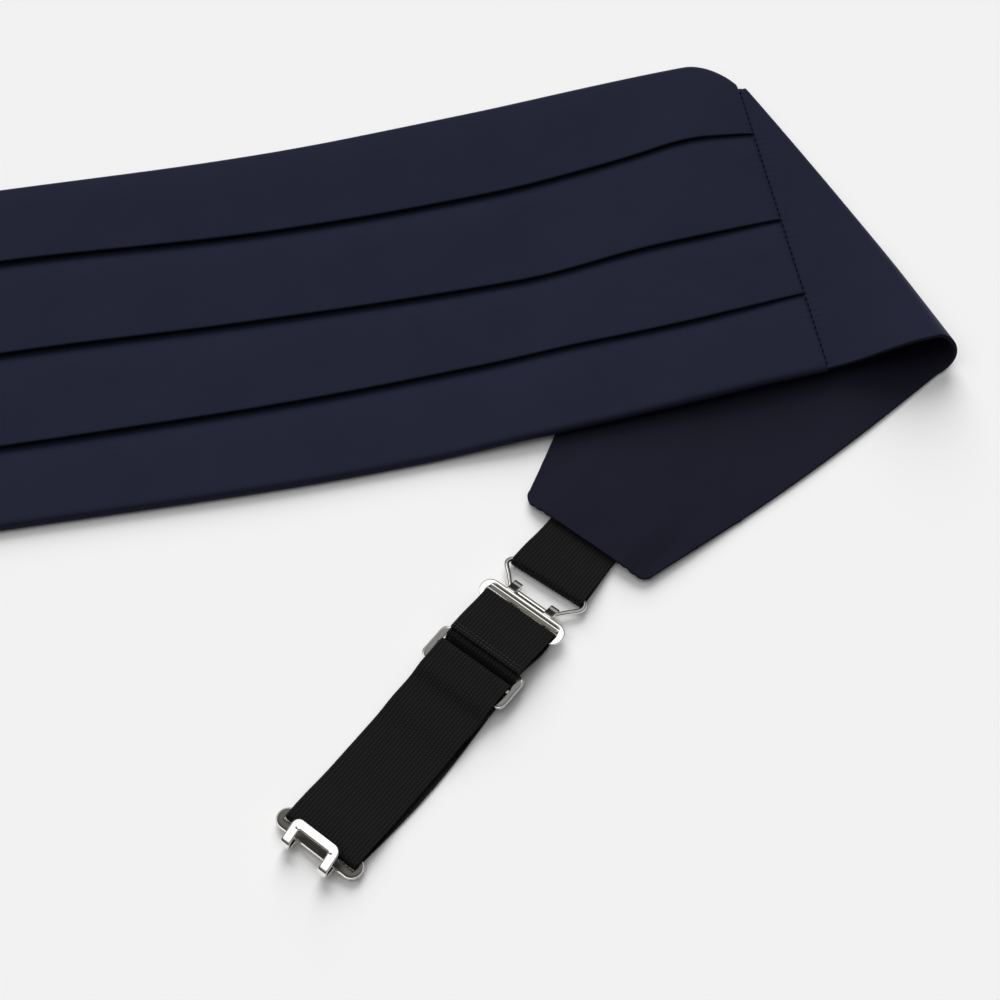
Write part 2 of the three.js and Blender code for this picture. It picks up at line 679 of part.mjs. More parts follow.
// Places along the strap, from the panel's short end. HOOK_SLACK is how far the hook's plate
// stands back from the eye's wire, and LOOP_SLACK how far a strap's loop draws on its bar.
const HOOK_SLACK = 0.6;
const LOOP_SLACK = 0.2;
const eyeNarrow = TAB_REACH + EYE_DEPTH;
const upperHookFront = eyeNarrow + WIRE / 2 + HOOK_SLACK;
const upperPlateHeight = eyeHeight + WIRE / 2 + GAP + SHEET / 2;
const barTurn = SHEET / 2 + BAR_GAP + ELASTIC / 2;
const upperLoop = upperHookFront + HOOK_FRONT_BAR + HOOK_SLOT + LOOP_SLACK;
const flapEnd = upperLoop - barTurn - ELASTIC / 2 + FLAP_LENGTH;
const slideStart = flapEnd - SLIDE_BAR / 2;
const slideMiddle = slideStart + SLIDE_LENGTH / 2;
const slideEnd = slideStart + SLIDE_LENGTH;
const slideTurn = Math.hypot(SLIDE_BAR, SLIDE_BAR) / 2 + BAR_GAP + ELASTIC / 2;
const slideHeight = ELASTIC * 1.5 + GAP + slideTurn;
const lowerHookFront = slideMiddle + STRAP_REACH;
const lowerLoop = lowerHookFront - HOOK_FRONT_BAR - HOOK_SLOT - LOOP_SLACK;
const lowerPlateHeight = ELASTIC / 2 + barTurn;

// The strap runs from its sewn flap round the upper hook's bar, over the slide's first bar,
// under its middle bar, along the surface to the lower hook, and back to the middle bar. Its
// plies lie flat on each other between LOOP_RAMP from the lower loop and TAIL_RAMP from the
// tail, and SLIDE_REST is how far past the slide the upper ply levels out.
const LOOP_RAMP = 20;
const TAIL_RAMP = 12;
const SLIDE_REST = 9;
const FLAP_REST = 2;
const STRAP_STEPS = 16;

function adjustableStrap() {
  const ply = ELASTIC + PLY_GAP;
  const overSlide = slideHeight + SLIDE_THICK / 2 + GAP + ELASTIC / 2;
  const tailHeight = slideHeight - slideTurn;
  const tailEnd = slideMiddle + TAIL_LENGTH;
  const route = new Route(flapEnd, overSlide + ply)
    .line(flapEnd - FLAP_REST, overSlide + ply)
    .sweep(upperLoop, upperPlateHeight + barTurn, 7)
    .turn(upperPlateHeight - barTurn, -1)
    .sweep(slideStart - GAP, overSlide, 8, UPPER_SLIP)
    .line(slideStart + SLIDE_BAR, overSlide)
    .sweep(slideMiddle - SLIDE_BAR, ELASTIC / 2, 10)
    .line(slideEnd + FLAP_REST, ELASTIC / 2)
    .line(lowerLoop - HOOK_REAR_BAR, ELASTIC / 2, STRAP_STEPS, LOWER_SLIP)
    .line(lowerLoop, ELASTIC / 2)
    .turn(lowerPlateHeight + barTurn, 1)
    .line(lowerLoop - HOOK_REAR_BAR, lowerPlateHeight + barTurn)
    .sweep(lowerLoop - LOOP_RAMP, ply + ELASTIC / 2, 6)
    .line(tailEnd + TAIL_RAMP, ply + ELASTIC / 2, 3)
    .sweep(tailEnd + GAP, tailHeight + ply, 5)
    .line(slideEnd + SLIDE_REST, tailHeight + ply)
    .sweep(slideEnd + GAP, overSlide, 7)
    .line(slideEnd - SLIDE_BAR - GAP, overSlide)
    .sweep(slideMiddle, slideHeight + slideTurn, 3)
    .turn(tailHeight, -1, 10)
    .line(tailEnd, tailHeight, 3);
  return ribbon(route, ELASTIC, ELASTIC_WIDTH);
}

function strapSlide() {
  const frame = roundedRectangle(slideStart, -SLIDE_HALF, slideEnd, SLIDE_HALF, SLIDE_CORNER);
  const slots = [
    slotCutter(slideStart + SLIDE_BAR, slideMiddle - SLIDE_BAR / 2, slideHeight),
    slotCutter(slideMiddle + SLIDE_BAR / 2, slideEnd - SLIDE_BAR, slideHeight),
  ];
  const solid = toManifold(plate(frame, SLIDE_THICK, slideHeight - SLIDE_THICK / 2));
  return fromManifold(slots.reduce((whole, slot) => whole.subtract(slot), solid));
}

function piece(name, geometry, finish) {
  const mesh = new THREE.Mesh(geometry, new THREE.MeshStandardMaterial(finish));
  mesh.name = name;
  return mesh;
}

// A group that stands in a closure frame: X outward, Y to its side.
function closureGroup(frame, ...pieces) {
  const group = new THREE.Group();
  group.position.set(frame.middle.x, frame.middle.y, 0);
  group.rotation.z = frame.angle;
  group.add(...pieces);
  return group;
}

const hookUpper = piece('hook_upper', hookPlate(), NICKEL);
hookUpper.rotation.y = Math.PI;
hookUpper.position.set(upperHookFront, 0, upperPlateHeight);
const hookLower = piece('hook_lower', hookPlate(), NICKEL);
hookLower.position.set(lowerHookFront, 0, lowerPlateHeight);
const strapGroup = new THREE.Group();
strapGroup.position.y = STRAP_SIDE;
strapGroup.add(
  hookUpper,
  piece('adjustable_strap', adjustableStrap(), BLACK_ELASTIC),
  piece('strap_slide', strapSlide(), NICKEL),
  hookLower);

const laidOut = new THREE.Group();
laidOut.add(
  piece('pleated_front', pleatedFront(), SATIN),
  piece('side_panel_right', sidePanelRight(), SATIN),
  piece('side_panel_left', sidePanelLeft(), SATIN),
  closureGroup(
    rightClosure,
    piece('elastic_tab_right', elasticTab(), BLACK_ELASTIC),
    piece('eye_right', wireEye(), NICKEL),
    strapGroup),
  closureGroup(
    leftClosure,
    piece('elastic_tab_left', elasticTab(), BLACK_ELASTIC),
    piece('eye_left', wireEye(), NICKEL)));

// The origin is the middle of the laid-out cummerbund's box, on the surface below it.
const box = new THREE.Box3().setFromObject(laidOut, true);
laidOut.position.set(-(box.min.x + box.max.x) / 2, -(box.min.y + box.max.y) / 2, -box.min.z);

const cummerbund = new THREE.Group();
cummerbund.add(laidOut);

export default cummerbund;
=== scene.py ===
# %% [markdown]
# # A navy satin cummerbund, laid flat
#
# A cummerbund is a pleated satin waistband. This one lies on a pale table. One of its tapered
# side panels is folded back under the front, and its elastic closure lies beside it.
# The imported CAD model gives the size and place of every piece, so it is loaded first as a fixed
# frame. Blender then dresses it: finer cloth, ribbed elastic, stitches and polished metal.

# %% Load the frame
import math

import bmesh
import bpy
import numpy as np
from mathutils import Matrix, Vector, noise


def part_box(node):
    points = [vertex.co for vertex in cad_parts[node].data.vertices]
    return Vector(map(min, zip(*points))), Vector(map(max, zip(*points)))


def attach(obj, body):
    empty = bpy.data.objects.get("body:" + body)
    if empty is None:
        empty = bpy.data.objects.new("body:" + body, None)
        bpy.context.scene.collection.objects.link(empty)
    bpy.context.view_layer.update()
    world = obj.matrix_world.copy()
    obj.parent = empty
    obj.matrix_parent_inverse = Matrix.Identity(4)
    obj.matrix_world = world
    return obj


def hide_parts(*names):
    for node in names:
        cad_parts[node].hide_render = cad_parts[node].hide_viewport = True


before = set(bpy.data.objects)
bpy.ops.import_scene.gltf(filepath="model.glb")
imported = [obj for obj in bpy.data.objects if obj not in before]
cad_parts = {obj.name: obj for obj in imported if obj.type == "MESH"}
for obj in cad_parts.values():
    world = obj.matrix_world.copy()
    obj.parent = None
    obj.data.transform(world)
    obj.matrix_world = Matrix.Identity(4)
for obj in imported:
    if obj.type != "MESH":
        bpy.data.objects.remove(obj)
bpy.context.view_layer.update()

# %% [markdown]
# ## The sizes
#
# The cloth is drawn by the same rules as the CAD solids, only with many more points, so the
# sizes of those rules are repeated here. They are in millimetres, in the front's own frame:
# X along the front, Y up its height, Z up from the table. One shift then moves them to the
# CAD's origin. It is read from two CAD nodes, so it can't drift away from them. The cloth is
# softer than the solids in two places: the fold starts 4 mm higher, and the corner is rounder.

# %% Sizes in millimetres
GAP = 0.3
PLY_GAP = 0.2
FRONT_HALF = 254
FRONT_HEIGHT = 129.4
FRONT_BASE = 2.0
PLEAT_PLY = 1.0
PLEAT_OVERLAP = 4
FRONT_CORNER = 16
FRONT_CORNER_DROP = 11.8
CORNER_SHARPNESS = 2.0
SEAM_LEAN = 0.023
PANEL = 1.4
PANEL_LENGTH = 177
PANEL_END_WIDTH = 47
PANEL_CORNER = 4
PANEL_EDGE_BOW = 2
FOLD_HEAD_DROP = 18
FOLD_HEAD_RISE = 4.2
FOLD_HEAD_REACH = 1.1
FOLD_FOOT_REACH = 41.5
FOLD_FOOT_DROP = 1
FOLD_BULGE = 2.6
FOLD_HEAD_RADIUS = 1.15
FOLD_FOOT_RADIUS = 6.7
FOLD_OPENING = 2.2
FOLD_SLIP = 5.5
UNDER_LENGTH = 149.4
UNDER_HEADING = 223.1
UNDER_TOP_BOW = 4
UNDER_FOOT_BOW = 2
SPRING_LIFT = 3
LIFT_RAMP = 28
LIFT_EARLY = UNDER_TOP_BOW + 2
CLOSURE_HEADING = 222.2
ELASTIC = 1.0
ELASTIC_WIDTH = 25.2
TAB_TUCK = 7
TAB_REACH = 15.2
TAB_STACK = 2 * ELASTIC + PLY_GAP + GAP

eye_low, eye_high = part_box("eye_left")
front_low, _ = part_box("pleated_front")
SHIFT = np.array([front_low[0] * 1000 + FRONT_HALF, (eye_low[1] + eye_high[1]) * 500, 0.0])
print("shift to the CAD's origin, mm:", SHIFT.round(2))

# %% Number helpers
def lerp(low, high, share):
    return low + (high - low) * share


def smooth(low, high, value):
    share = np.clip((value - low) / (high - low), 0, 1)
    return share * share * (3 - 2 * share)


def eased(count):
    """Shares from 0 to 1, closer together at both ends."""
    return 0.5 - 0.5 * np.cos(np.pi * np.linspace(0, 1, count + 1))


def late(count):
    """Shares from 0 to 1, closer together at the far end."""
    return np.sin(np.pi / 2 * np.linspace(0, 1, count + 1))


def in_frame(points):
    """Millimetres in the front's frame to metres in the CAD's frame."""
    return (np.asarray(points, float) + SHIFT) / 1000


# %% [markdown]
# ## The camera and the table
#
# The photograph looks down at about 60 degrees, a little from the left, through a fairly long
# lens. The camera comes first, because it decides how much of each piece shows: the front's
# left end runs out of the picture, as in the photograph.

# %% Camera, from the perspective of the photograph
CAMERA_TARGET = Vector((0.2279, -0.0208, 0.0))
CAMERA_OFFSET = Vector((-0.0594, -0.3551, 0.6235))
CAMERA_ANGLE = 24

scene = bpy.context.scene
camera = bpy.data.objects.new("camera", bpy.data.cameras.new("camera"))
scene.collection.objects.link(camera)
camera.data.sensor_fit = "HORIZONTAL"
camera.data.angle = math.radians(CAMERA_ANGLE)
camera.data.clip_start = 0.01
camera.location = CAMERA_TARGET + CAMERA_OFFSET
camera.rotation_euler = (-CAMERA_OFFSET).to_track_quat("-Z", "Y").to_euler()
scene.camera = camera
print("camera at", [round(value, 3) for value in camera.location])

# %% [markdown]
# ## Light
#
# The shadows in the photograph are short and soft and fall toward the viewer, so the key is one
# wide soft source beyond the top of the picture. The rest is a dim studio with one soft box,
# high on the left. The satin hardly shows it, but the metal mirrors it: faces that tilt to the
# box go white, level ones stay grey and edges go dark. The key itself is kept out of
# reflections. The view transform is Standard, so that a pale table stays as pale as it is.

# %% Key, studio and table
KEY_AZIMUTH, KEY_ELEVATION, KEY_WIDTH = 6, 34, 46
KEY_STRENGTH = 3.2
BOX_AZIMUTH, BOX_ELEVATION = -79, 67
BOX_INNER, BOX_OUTER = 26, 29
BOX_COLOR = (1.45, 1.44, 1.42, 1.0)
STUDIO_STOPS = (
    (0.0, (0.01, 0.01, 0.01)), (0.38, (0.02, 0.02, 0.02)), (0.6, (0.22, 0.22, 0.22)),
    (0.8, (0.37, 0.37, 0.38)), (1.0, (0.41, 0.41, 0.42)))


def toward(azimuth, elevation):
    """A direction from degrees: azimuth from +Y towards +X, elevation above the table."""
    azimuth, elevation = math.radians(azimuth), math.radians(elevation)
    return Vector((math.sin(azimuth) * math.cos(elevation),
                   math.cos(azimuth) * math.cos(elevation), math.sin(elevation)))


toward_key = toward(KEY_AZIMUTH, KEY_ELEVATION)
key = bpy.data.objects.new("key", bpy.data.lights.new("key", "SUN"))
key.data.energy = KEY_STRENGTH
key.data.angle = math.radians(KEY_WIDTH)
key.location = CAMERA_TARGET + toward_key
key.visible_glossy = False
key.rotation_euler = toward_key.to_track_quat("Z", "Y").to_euler()
scene.collection.objects.link(key)
scene.view_settings.view_transform = "Standard"

TABLE_HALF = 3.0
TABLE_SINK = 0.0001
table_mesh = bpy.data.meshes.new("table")
table_corners = [(-1, -1), (1, -1), (1, 1), (-1, 1)]
table_mesh.from_pydata(
    [(x * TABLE_HALF, y * TABLE_HALF, -TABLE_SINK) for x, y in table_corners], [], [(0, 1, 2, 3)])
table_top = bpy.data.objects.new("table_top", table_mesh)
scene.collection.objects.link(table_top)

# %% [markdown]
# ## Writing materials as sums
#
# A Blender material is a tree of nodes. Shade wraps a socket, so that an expression such as
# groove * 0.4 + 0.6 adds its Math nodes by itself. Tree makes any other node from its type, its
# settings and its inputs, and is shared by materials and by Geometry Nodes.

# %% Tree and Shade
class Tree:
    def __init__(self, node_tree):
        self.tree = node_tree

    def node(self, kind, settings=None, inputs=None):
        made = self.tree.nodes.new(kind)
        for name, value in (settings or {}).items():
            if name == "stops":
                self.set_stops(made.color_ramp, value)
            else:
                setattr(made, name, value)
        for name, value in (inputs or {}).items():
            if isinstance(value, Shade):
                value = value.socket
            if isinstance(value, bpy.types.NodeSocket):
                self.tree.links.new(value, made.inputs[name])
            else:
                made.inputs[name].default_value = value
        return made

    @staticmethod
    def set_stops(ramp, stops):
        while len(ramp.elements) < len(stops):
            ramp.elements.new(1.0)
        for element, (position, color) in zip(ramp.elements, stops):
            element.position = position
            element.color = (*color, 1.0)

    def shade(self, kind, output, settings=None, inputs=None):
        return Shade(self, self.node(kind, settings, inputs).outputs[output])


class Shade:
    def __init__(self, tree, socket):
        self.tree = tree
        self.socket = socket

    def math(self, operation, *values):
        inputs = dict(enumerate(values))
        return self.tree.shade("ShaderNodeMath", 0, {"operation": operation}, inputs)

    def __add__(self, other):
        return self.math("ADD", self, other)

    def __sub__(self, other):
        return self.math("SUBTRACT", self, other)

    def __mul__(self, other):
        return self.math("MULTIPLY", self, other)

    def sine(self):
        return self.math("SINE", self)

    def size(self):
        return self.math("ABSOLUTE", self)


# %% The studio and its soft box
scene.world = bpy.data.worlds.new("studio")
scene.world.use_nodes = True
studio = Tree(scene.world.node_tree)
direction = studio.node("ShaderNodeTexCoord").outputs["Generated"]
heights = studio.node("ShaderNodeSeparateXYZ", None, {"Vector": direction})
dim = studio.node("ShaderNodeValToRGB", {"stops": STUDIO_STOPS}, {"Fac": heights.outputs["Z"]})
nearness = studio.node("ShaderNodeVectorMath", {"operation": "DOT_PRODUCT"}, {
    0: direction, 1: toward(BOX_AZIMUTH, BOX_ELEVATION)})
in_box = studio.node("ShaderNodeMapRange", {"interpolation_type": "SMOOTHSTEP"}, {
    "Value": nearness.outputs["Value"], "From Min": math.cos(math.radians(BOX_OUTER)),
    "From Max": math.cos(math.radians(BOX_INNER))})
backdrop = scene.world.node_tree.nodes["Background"]
lit = studio.node("ShaderNodeMix", {"data_type": "RGBA"}, {
    0: in_box.outputs["Result"], 6: dim.outputs["Color"], 7: BOX_COLOR})
scene.world.node_tree.links.new(lit.outputs[2], backdrop.inputs["Color"])


# %% A new material with its surface shader
def finish(name, **surface):
    """A material and its tree; surface holds the shader's even values by socket name."""
    material = bpy.data.materials.new(name)
    material.use_nodes = True
    tree = Tree(material.node_tree)
    shader = material.node_tree.nodes["Principled BSDF"]
    for socket, value in surface.items():
        shader.inputs[socket.replace("_", " ")].default_value = value
    return material, tree, shader


def mixed(tree, share, first, second):
    """A colour between two, by a share that varies."""
    node = tree.node("ShaderNodeMix", {"data_type": "RGBA"}, {0: share, 6: first, 7: second})
    return node.outputs[2]


def cloth_axes(tree):
    """The cloth's own map, and the places along the weave and across it."""
    cloth = tree.node("ShaderNodeUVMap", {"uv_map": "cloth"}).outputs["UV"]
    place = tree.node("ShaderNodeSeparateXYZ", None, {"Vector": cloth}).outputs
    return cloth, Shade(tree, place["X"]), Shade(tree, place["Y"])


def cloudy(tree, vector, scale, detail, roughness=0.5):
    return tree.shade("ShaderNodeTexNoise", "Fac", None, {
        "Vector": vector, "Scale": scale, "Detail": detail, "Roughness": roughness})


def bumped(tree, shader, height, strength, distance):
    bump = tree.node("ShaderNodeBump", None, {
        "Height": height, "Strength": strength, "Distance": distance})
    tree.tree.links.new(bump.outputs["Normal"], shader.inputs["Normal"])


# %% [markdown]
# ## Navy satin
#
# Satin is woven so that long threads float over many crossing ones. It is smooth, with a low
# even gloss and a bluish bloom where it turns away. The floats are far finer than a pixel here,
# so they are a faint bump along the cloth, and slow noise gives the small changes of tone that
# any dark cloth shows. Both follow the cloth's own map, in metres, so they turn with a fold.
# The panels are lined with a duller cloth, which is the side that shows after a fold. It shows
# only on the folded layer under the front, and its darker tone is partly painted shade.

# %% Satin
SATIN_DARK = (0.0134, 0.0142, 0.0286, 1.0)
SATIN_LIGHT = (0.0164, 0.0173, 0.0344, 1.0)
# The lined back's tone: its own duller colour, and partly painted shade, as it shows only under
# the front.
LINING_SHADE_DARK = (0.0106, 0.0107, 0.0198, 1.0)
LINING_SHADE_LIGHT = (0.0130, 0.0131, 0.0238, 1.0)
FLOAT_PITCH = 0.00034


def satin_finish():
    material, tree, shader = finish(
        "navy_satin", Roughness=0.46, Specular_IOR_Level=0.04, Sheen_Weight=0.015,
        Sheen_Roughness=0.35, Sheen_Tint=(0.5, 0.6, 1.0, 1.0))
    cloth, along, across = cloth_axes(tree)
    slow = cloudy(tree, cloth, 46.0, 5.0, 0.6)
    turn = 2 * math.pi / FLOAT_PITCH
    floats = (across * turn).sine() + ((along * 0.7 + across * 0.35) * turn).sine() * 0.5
    # The back is painted darker: partly the duller cloth it is lined with, partly painted shade
    # under the front.
    lining = tree.shade("ShaderNodeAttribute", "Fac", {"attribute_name": "lining"})
    face = mixed(tree, slow, SATIN_DARK, SATIN_LIGHT)
    back = mixed(tree, slow, LINING_SHADE_DARK, LINING_SHADE_LIGHT)
    tree.tree.links.new(mixed(tree, lining, face, back), shader.inputs["Base Color"])
    bumped(tree, shader, floats * 0.5 + slow * 3, 0.12, 0.00008)
    return material


satin = satin_finish()

# %% [markdown]
# ## Black ribbed elastic
#
# The elastic is woven with about twenty cords along it, held by a fine crossing thread. The cords
# are real shape, added later. The crossing thread is a bump on the ribbon's own map: across in one
# direction and along in the other. The same pattern paints the colour with light and shade: the
# cords' crests lighter, the grooves between cords and crossing threads darker, as painted shade.

# %% Elastic
RIB_PITCH = 0.00112
PICK_PITCH = 0.00092
# Painted light and shade on the elastic: the cords' crests lit, the grooves painted in shade.
ELASTIC_CREST_LIT = (0.0155, 0.0157, 0.0154, 1.0)
ELASTIC_GROOVE_SHADE = (0.0066, 0.0067, 0.0067, 1.0)


def elastic_finish():
    material, tree, shader = finish("ribbed_elastic", Roughness=0.6, Specular_IOR_Level=0.06)
    _, along, across = cloth_axes(tree)
    cord = (across * (math.pi / RIB_PITCH)).sine()
    rib = cord.size()
    offset = cord * 0.6
    pick = (along * (2 * math.pi / PICK_PITCH) + offset * 2).sine() * 0.5 + 0.5
    # crest is the ribs' relief: it drives the bump, and it paints the crests lit and the grooves
    # in shade.
    crest = rib * (pick * 0.75 + 0.25)
    tree.tree.links.new(
        mixed(tree, crest, ELASTIC_GROOVE_SHADE, ELASTIC_CREST_LIT), shader.inputs["Base Color"])
    bumped(tree, shader, crest, 0.6, 0.0002)
    return material


elastic = elastic_finish()

# %% [markdown]
# ## Polished nickel, threads and table
#
# The wire eyes, the hooks and the slide are nickel plated steel. Plating is bright, with faint
# waves and hairlines from polishing, which a little noise in the roughness and in the bump
# gives. The threads are matt, and the table is a plain pale paper.

# %% Nickel, thread and table
# The second colour is painted shade and dark reflection for the dished hollows and bars of the
# stamped plates; the same places are also rougher.
NICKEL_BRIGHT = (0.88, 0.865, 0.83, 1.0)
NICKEL_SHADE = (0.14, 0.136, 0.118, 1.0)


def nickel_finish():
    material, tree, shader = finish("polished_nickel", Metallic=1.0)
    spot = tree.node("ShaderNodeTexCoord")
    wave = cloudy(tree, spot.outputs["Object"], 260.0, 2.0)
    # This mark makes the plates' dished hollows and bars rougher and paints them darker, as
    # painted shade and dark reflection.
    dull = tree.shade("ShaderNodeAttribute", "Fac", {"attribute_name": "dull"})
    tree.tree.links.new(mixed(tree, dull, NICKEL_BRIGHT, NICKEL_SHADE), shader.inputs["Base Color"])
    tree.tree.links.new((wave * 0.05 + dull * 0.25 + 0.04).socket, shader.inputs["Roughness"])
    bumped(tree, shader, wave, 0.05, 0.0001)
    return material


def thread_finish(name, color):
    material, tree, shader = finish(name, Roughness=0.7, Specular_IOR_Level=0.05)
    spot = tree.node("ShaderNodeTexCoord")
    fuzz = cloudy(tree, spot.outputs["Object"], 3000.0, 2.0)
    darker = tuple(channel * 0.6 for channel in color[:3]) + (1.0,)
    tree.tree.links.new(mixed(tree, fuzz, darker, color), shader.inputs["Base Color"])
    bumped(tree, shader, fuzz, 0.4, 0.0001)
    return material


nickel = nickel_finish()
navy_thread = thread_finish("navy_thread", (0.004, 0.0042, 0.0065, 1.0))
grey_thread = thread_finish("grey_thread", (0.06, 0.062, 0.06, 1.0))
paper, _, _ = finish(
    "pale_paper", Base_Color=(0.86, 0.86, 0.86, 1.0), Roughness=0.9, Specular_IOR_Level=0.1)
table_mesh.materials.append(paper)
print("finishes:", [material.name for material in bpy.data.materials if material.users])

# %% [markdown]
# ## The front's rules
#
# The front is described by a few sections along it. Each section has the heights of its edges
# and of its three pleat lines. A smooth curve through the table gives every section between.

# %% Sections along the front
SECTION_COLUMNS = ("along", "rise", "height", "pleat_1", "pleat_2", "pleat_3")
SECTION_ROWS = (
    (-1.0, 0.0, 1.0, 0.262, 0.542, 0.772),
    (-0.87, 0.0, 1.005, 0.25, 0.546, 0.779),
    (-0.6, 0.0, 1.005, 0.266, 0.542, 0.771),
    (-0.3, 0.0, 1.0, 0.254, 0.522, 0.77),
    (0.0, 0.0, 1.0, 0.235, 0.511, 0.777),
    (0.355, 0.005, 1.002, 0.257, 0.522, 0.77),
    (0.65, 0.0445, 1.015, 0.271, 0.548, 0.77),
    (0.835, 0.078, 1.028, 0.256, 0.545, 0.781),
    (0.915, 0.092, 1.028, 0.247, 0.547, 0.78),
    (1.0, 0.101, 1.016, 0.262, 0.542, 0.772),
)
SECTIONS = dict(zip(SECTION_COLUMNS, np.array(SECTION_ROWS).T))


def section_value(column, along):
    """One value of the sections' table at a place along the front."""
    places, values = SECTIONS["along"], SECTIONS[column]
    last = len(places) - 1
    end = int(np.clip(np.searchsorted(places, along), 1, last))
    start, before, after = end - 1, max(end - 2, 0), min(end + 1, last)
    span = places[end] - places[start]
    share = (along - places[start]) / span
    slope_start = (values[end] - values[before]) / (places[end] - places[before]) * span
    slope_end = (values[after] - values[start]) / (places[after] - places[start]) * span
    square, cube = share**2, share**3
    return (values[start] * (2 * cube - 3 * square + 1) + slope_start * (cube - 2 * square + share)
            + values[end] * (3 * square - 2 * cube) + slope_end * (cube - square))


def front_lines(along):
    """The front's top, pleat lines and bottom at a place along it, and its top without corner."""
    height = section_value("height", along) * FRONT_HEIGHT
    full_top = section_value("rise", along) * FRONT_HEIGHT + height / 2
    into_corner = max(along * FRONT_HALF - (FRONT_HALF - FRONT_CORNER), 0) / FRONT_CORNER
    top = full_top - FRONT_CORNER_DROP * into_corner**CORNER_SHARPNESS
    pleats = [full_top - height * section_value(name, along) for name in SECTION_COLUMNS[3:]]
    return top, pleats, full_top - height, full_top


_, _, seam_bottom, seam_full_top = front_lines(1.0)
SEAM_MIDDLE = (seam_full_top + seam_bottom) / 2


def seam_x(y):
    return FRONT_HALF - SEAM_LEAN * (y - SEAM_MIDDLE)


print("seam from", round(seam_bottom, 1), "to", round(seam_full_top, 1), "mm")

# %% [markdown]
# ## The fold and the closure's places
#
# The right panel turns back along a slanting line. The turn is tight at its head and open at its
# foot. The panel's short end, the elastic and the metal all line up on one heading, so they
# share a small frame of their own: reach runs outward from the short end, side lies across it.

# %% Fold line and closure frames
class Closure:
    def __init__(self, middle, heading):
        angle = math.radians(heading)
        self.middle = np.array(middle, float)
        self.outward = np.array([math.cos(angle), math.sin(angle)])
        self.side = np.array([-self.outward[1], self.outward[0]])

    def plan(self, reach, side):
        reach, side = np.asarray(reach)[..., None], np.asarray(side)[..., None]
        return self.middle + self.outward * reach + self.side * side

    def place(self, reach, side, height):
        """Points in the front's frame, from arrays of reach, side and height."""
        plan = self.plan(reach, side)
        height = np.broadcast_to(np.asarray(height)[..., None], plan.shape[:-1] + (1,))
        return np.concatenate([plan, height], axis=-1)


head_y = seam_full_top - FOLD_HEAD_DROP
FOLD_HEAD = np.array([seam_x(head_y) + GAP + FOLD_HEAD_REACH + FOLD_HEAD_RADIUS, head_y])
FOLD_FOOT = np.array([seam_x(seam_bottom) + FOLD_FOOT_REACH, seam_bottom - FOLD_FOOT_DROP])
FOLD_DOWN = (FOLD_FOOT - FOLD_HEAD) / np.linalg.norm(FOLD_FOOT - FOLD_HEAD)
FOLD_INWARD = np.array([FOLD_DOWN[1], -FOLD_DOWN[0]])


def fold_tip(share):
    return lerp(FOLD_HEAD, FOLD_FOOT, share) - FOLD_INWARD * 4 * FOLD_BULGE * share * (1 - share)


under_angle = math.radians(UNDER_HEADING)
right_end = fold_tip(0.5) + UNDER_LENGTH * np.array([math.cos(under_angle), math.sin(under_angle)])
RIGHT = Closure(right_end, CLOSURE_HEADING)
LEFT = Closure((-FRONT_HALF - GAP - PANEL_LENGTH, 0), 180)
UNDER_CORNER = RIGHT.plan(0, -PANEL_END_WIDTH / 2)
UNDER_EDGE = (FOLD_HEAD - UNDER_CORNER) / np.linalg.norm(FOLD_HEAD - UNDER_CORNER)


def front_lift(x, y):
    """How far the front is carried above the table by the folded panel below it."""
    inside = (x - UNDER_CORNER[0]) * UNDER_EDGE[1] - (y - UNDER_CORNER[1]) * UNDER_EDGE[0]
    carried = (PANEL + GAP) * smooth(-LIFT_EARLY - LIFT_RAMP, -LIFT_EARLY, inside)
    toward_seam = smooth(UNDER_CORNER[0], FRONT_HALF, x)
    return carried + SPRING_LIFT * toward_seam * (seam_full_top - y) / FRONT_HEIGHT


print("short end at", right_end.round(1), "mm in the front's frame")

# %% [markdown]
# ## Meshes with a map of the cloth
#
# Every piece of cloth becomes a closed mesh with a map called cloth, in metres: X along the
# weave, Y across it. Two builders are enough. One lofts a closed section along the front. The
# other gives a grid of points a wall and a rim, with a fine groove between its two plies.

# %% Mesh builders
def new_piece(name, points, faces, corner_map, material):
    mesh = bpy.data.meshes.new(name)
    mesh.from_pydata(in_frame(points).tolist(), [], faces)
    layer = mesh.uv_layers.new(name="cloth")
    layer.data.foreach_set("uv", (np.asarray(corner_map, float) / 1000).ravel())
    mesh.materials.append(material)
    shell = bmesh.new()
    shell.from_mesh(mesh)
    bmesh.ops.recalc_face_normals(shell, faces=shell.faces)
    for face in shell.faces:
        face.smooth = True
    shell.to_mesh(mesh)
    shell.free()
    piece = bpy.data.objects.new(name, mesh)
    scene.collection.objects.link(piece)
    print(name, "has", len(mesh.polygons), "faces")
    return piece


def lofted(name, rings, runs, places, material):
    """A closed section lofted through rings; runs has one more column, for the way round."""
    count = rings.shape[1]
    faces, corner_map = [], []
    for ring in range(len(rings) - 1):
        here, there = ring * count, (ring + 1) * count
        for side in range(count):
            after = (side + 1) % count
            faces.append((here + side, here + after, there + after, there + side))
            corner_map += [
                (places[ring], runs[ring, side]), (places[ring], runs[ring, side + 1]),
                (places[ring + 1], runs[ring + 1, side + 1]),
                (places[ring + 1], runs[ring + 1, side])]
    for ring in (0, len(rings) - 1):
        faces.append(tuple(range(ring * count, (ring + 1) * count)))
        corner_map += [(point[1], point[2]) for point in rings[ring]]
    return new_piece(name, rings.reshape(-1, 3), faces, corner_map, material)


# Across the rim, from the upper face to the lower: shares of the wall's thickness.
RIM_RISE = (0.42, 0.24, 0.03, -0.03, -0.24, -0.42)
RIM_REACH = (0.13, 0.18, 0.0, 0.0, 0.18, 0.13)


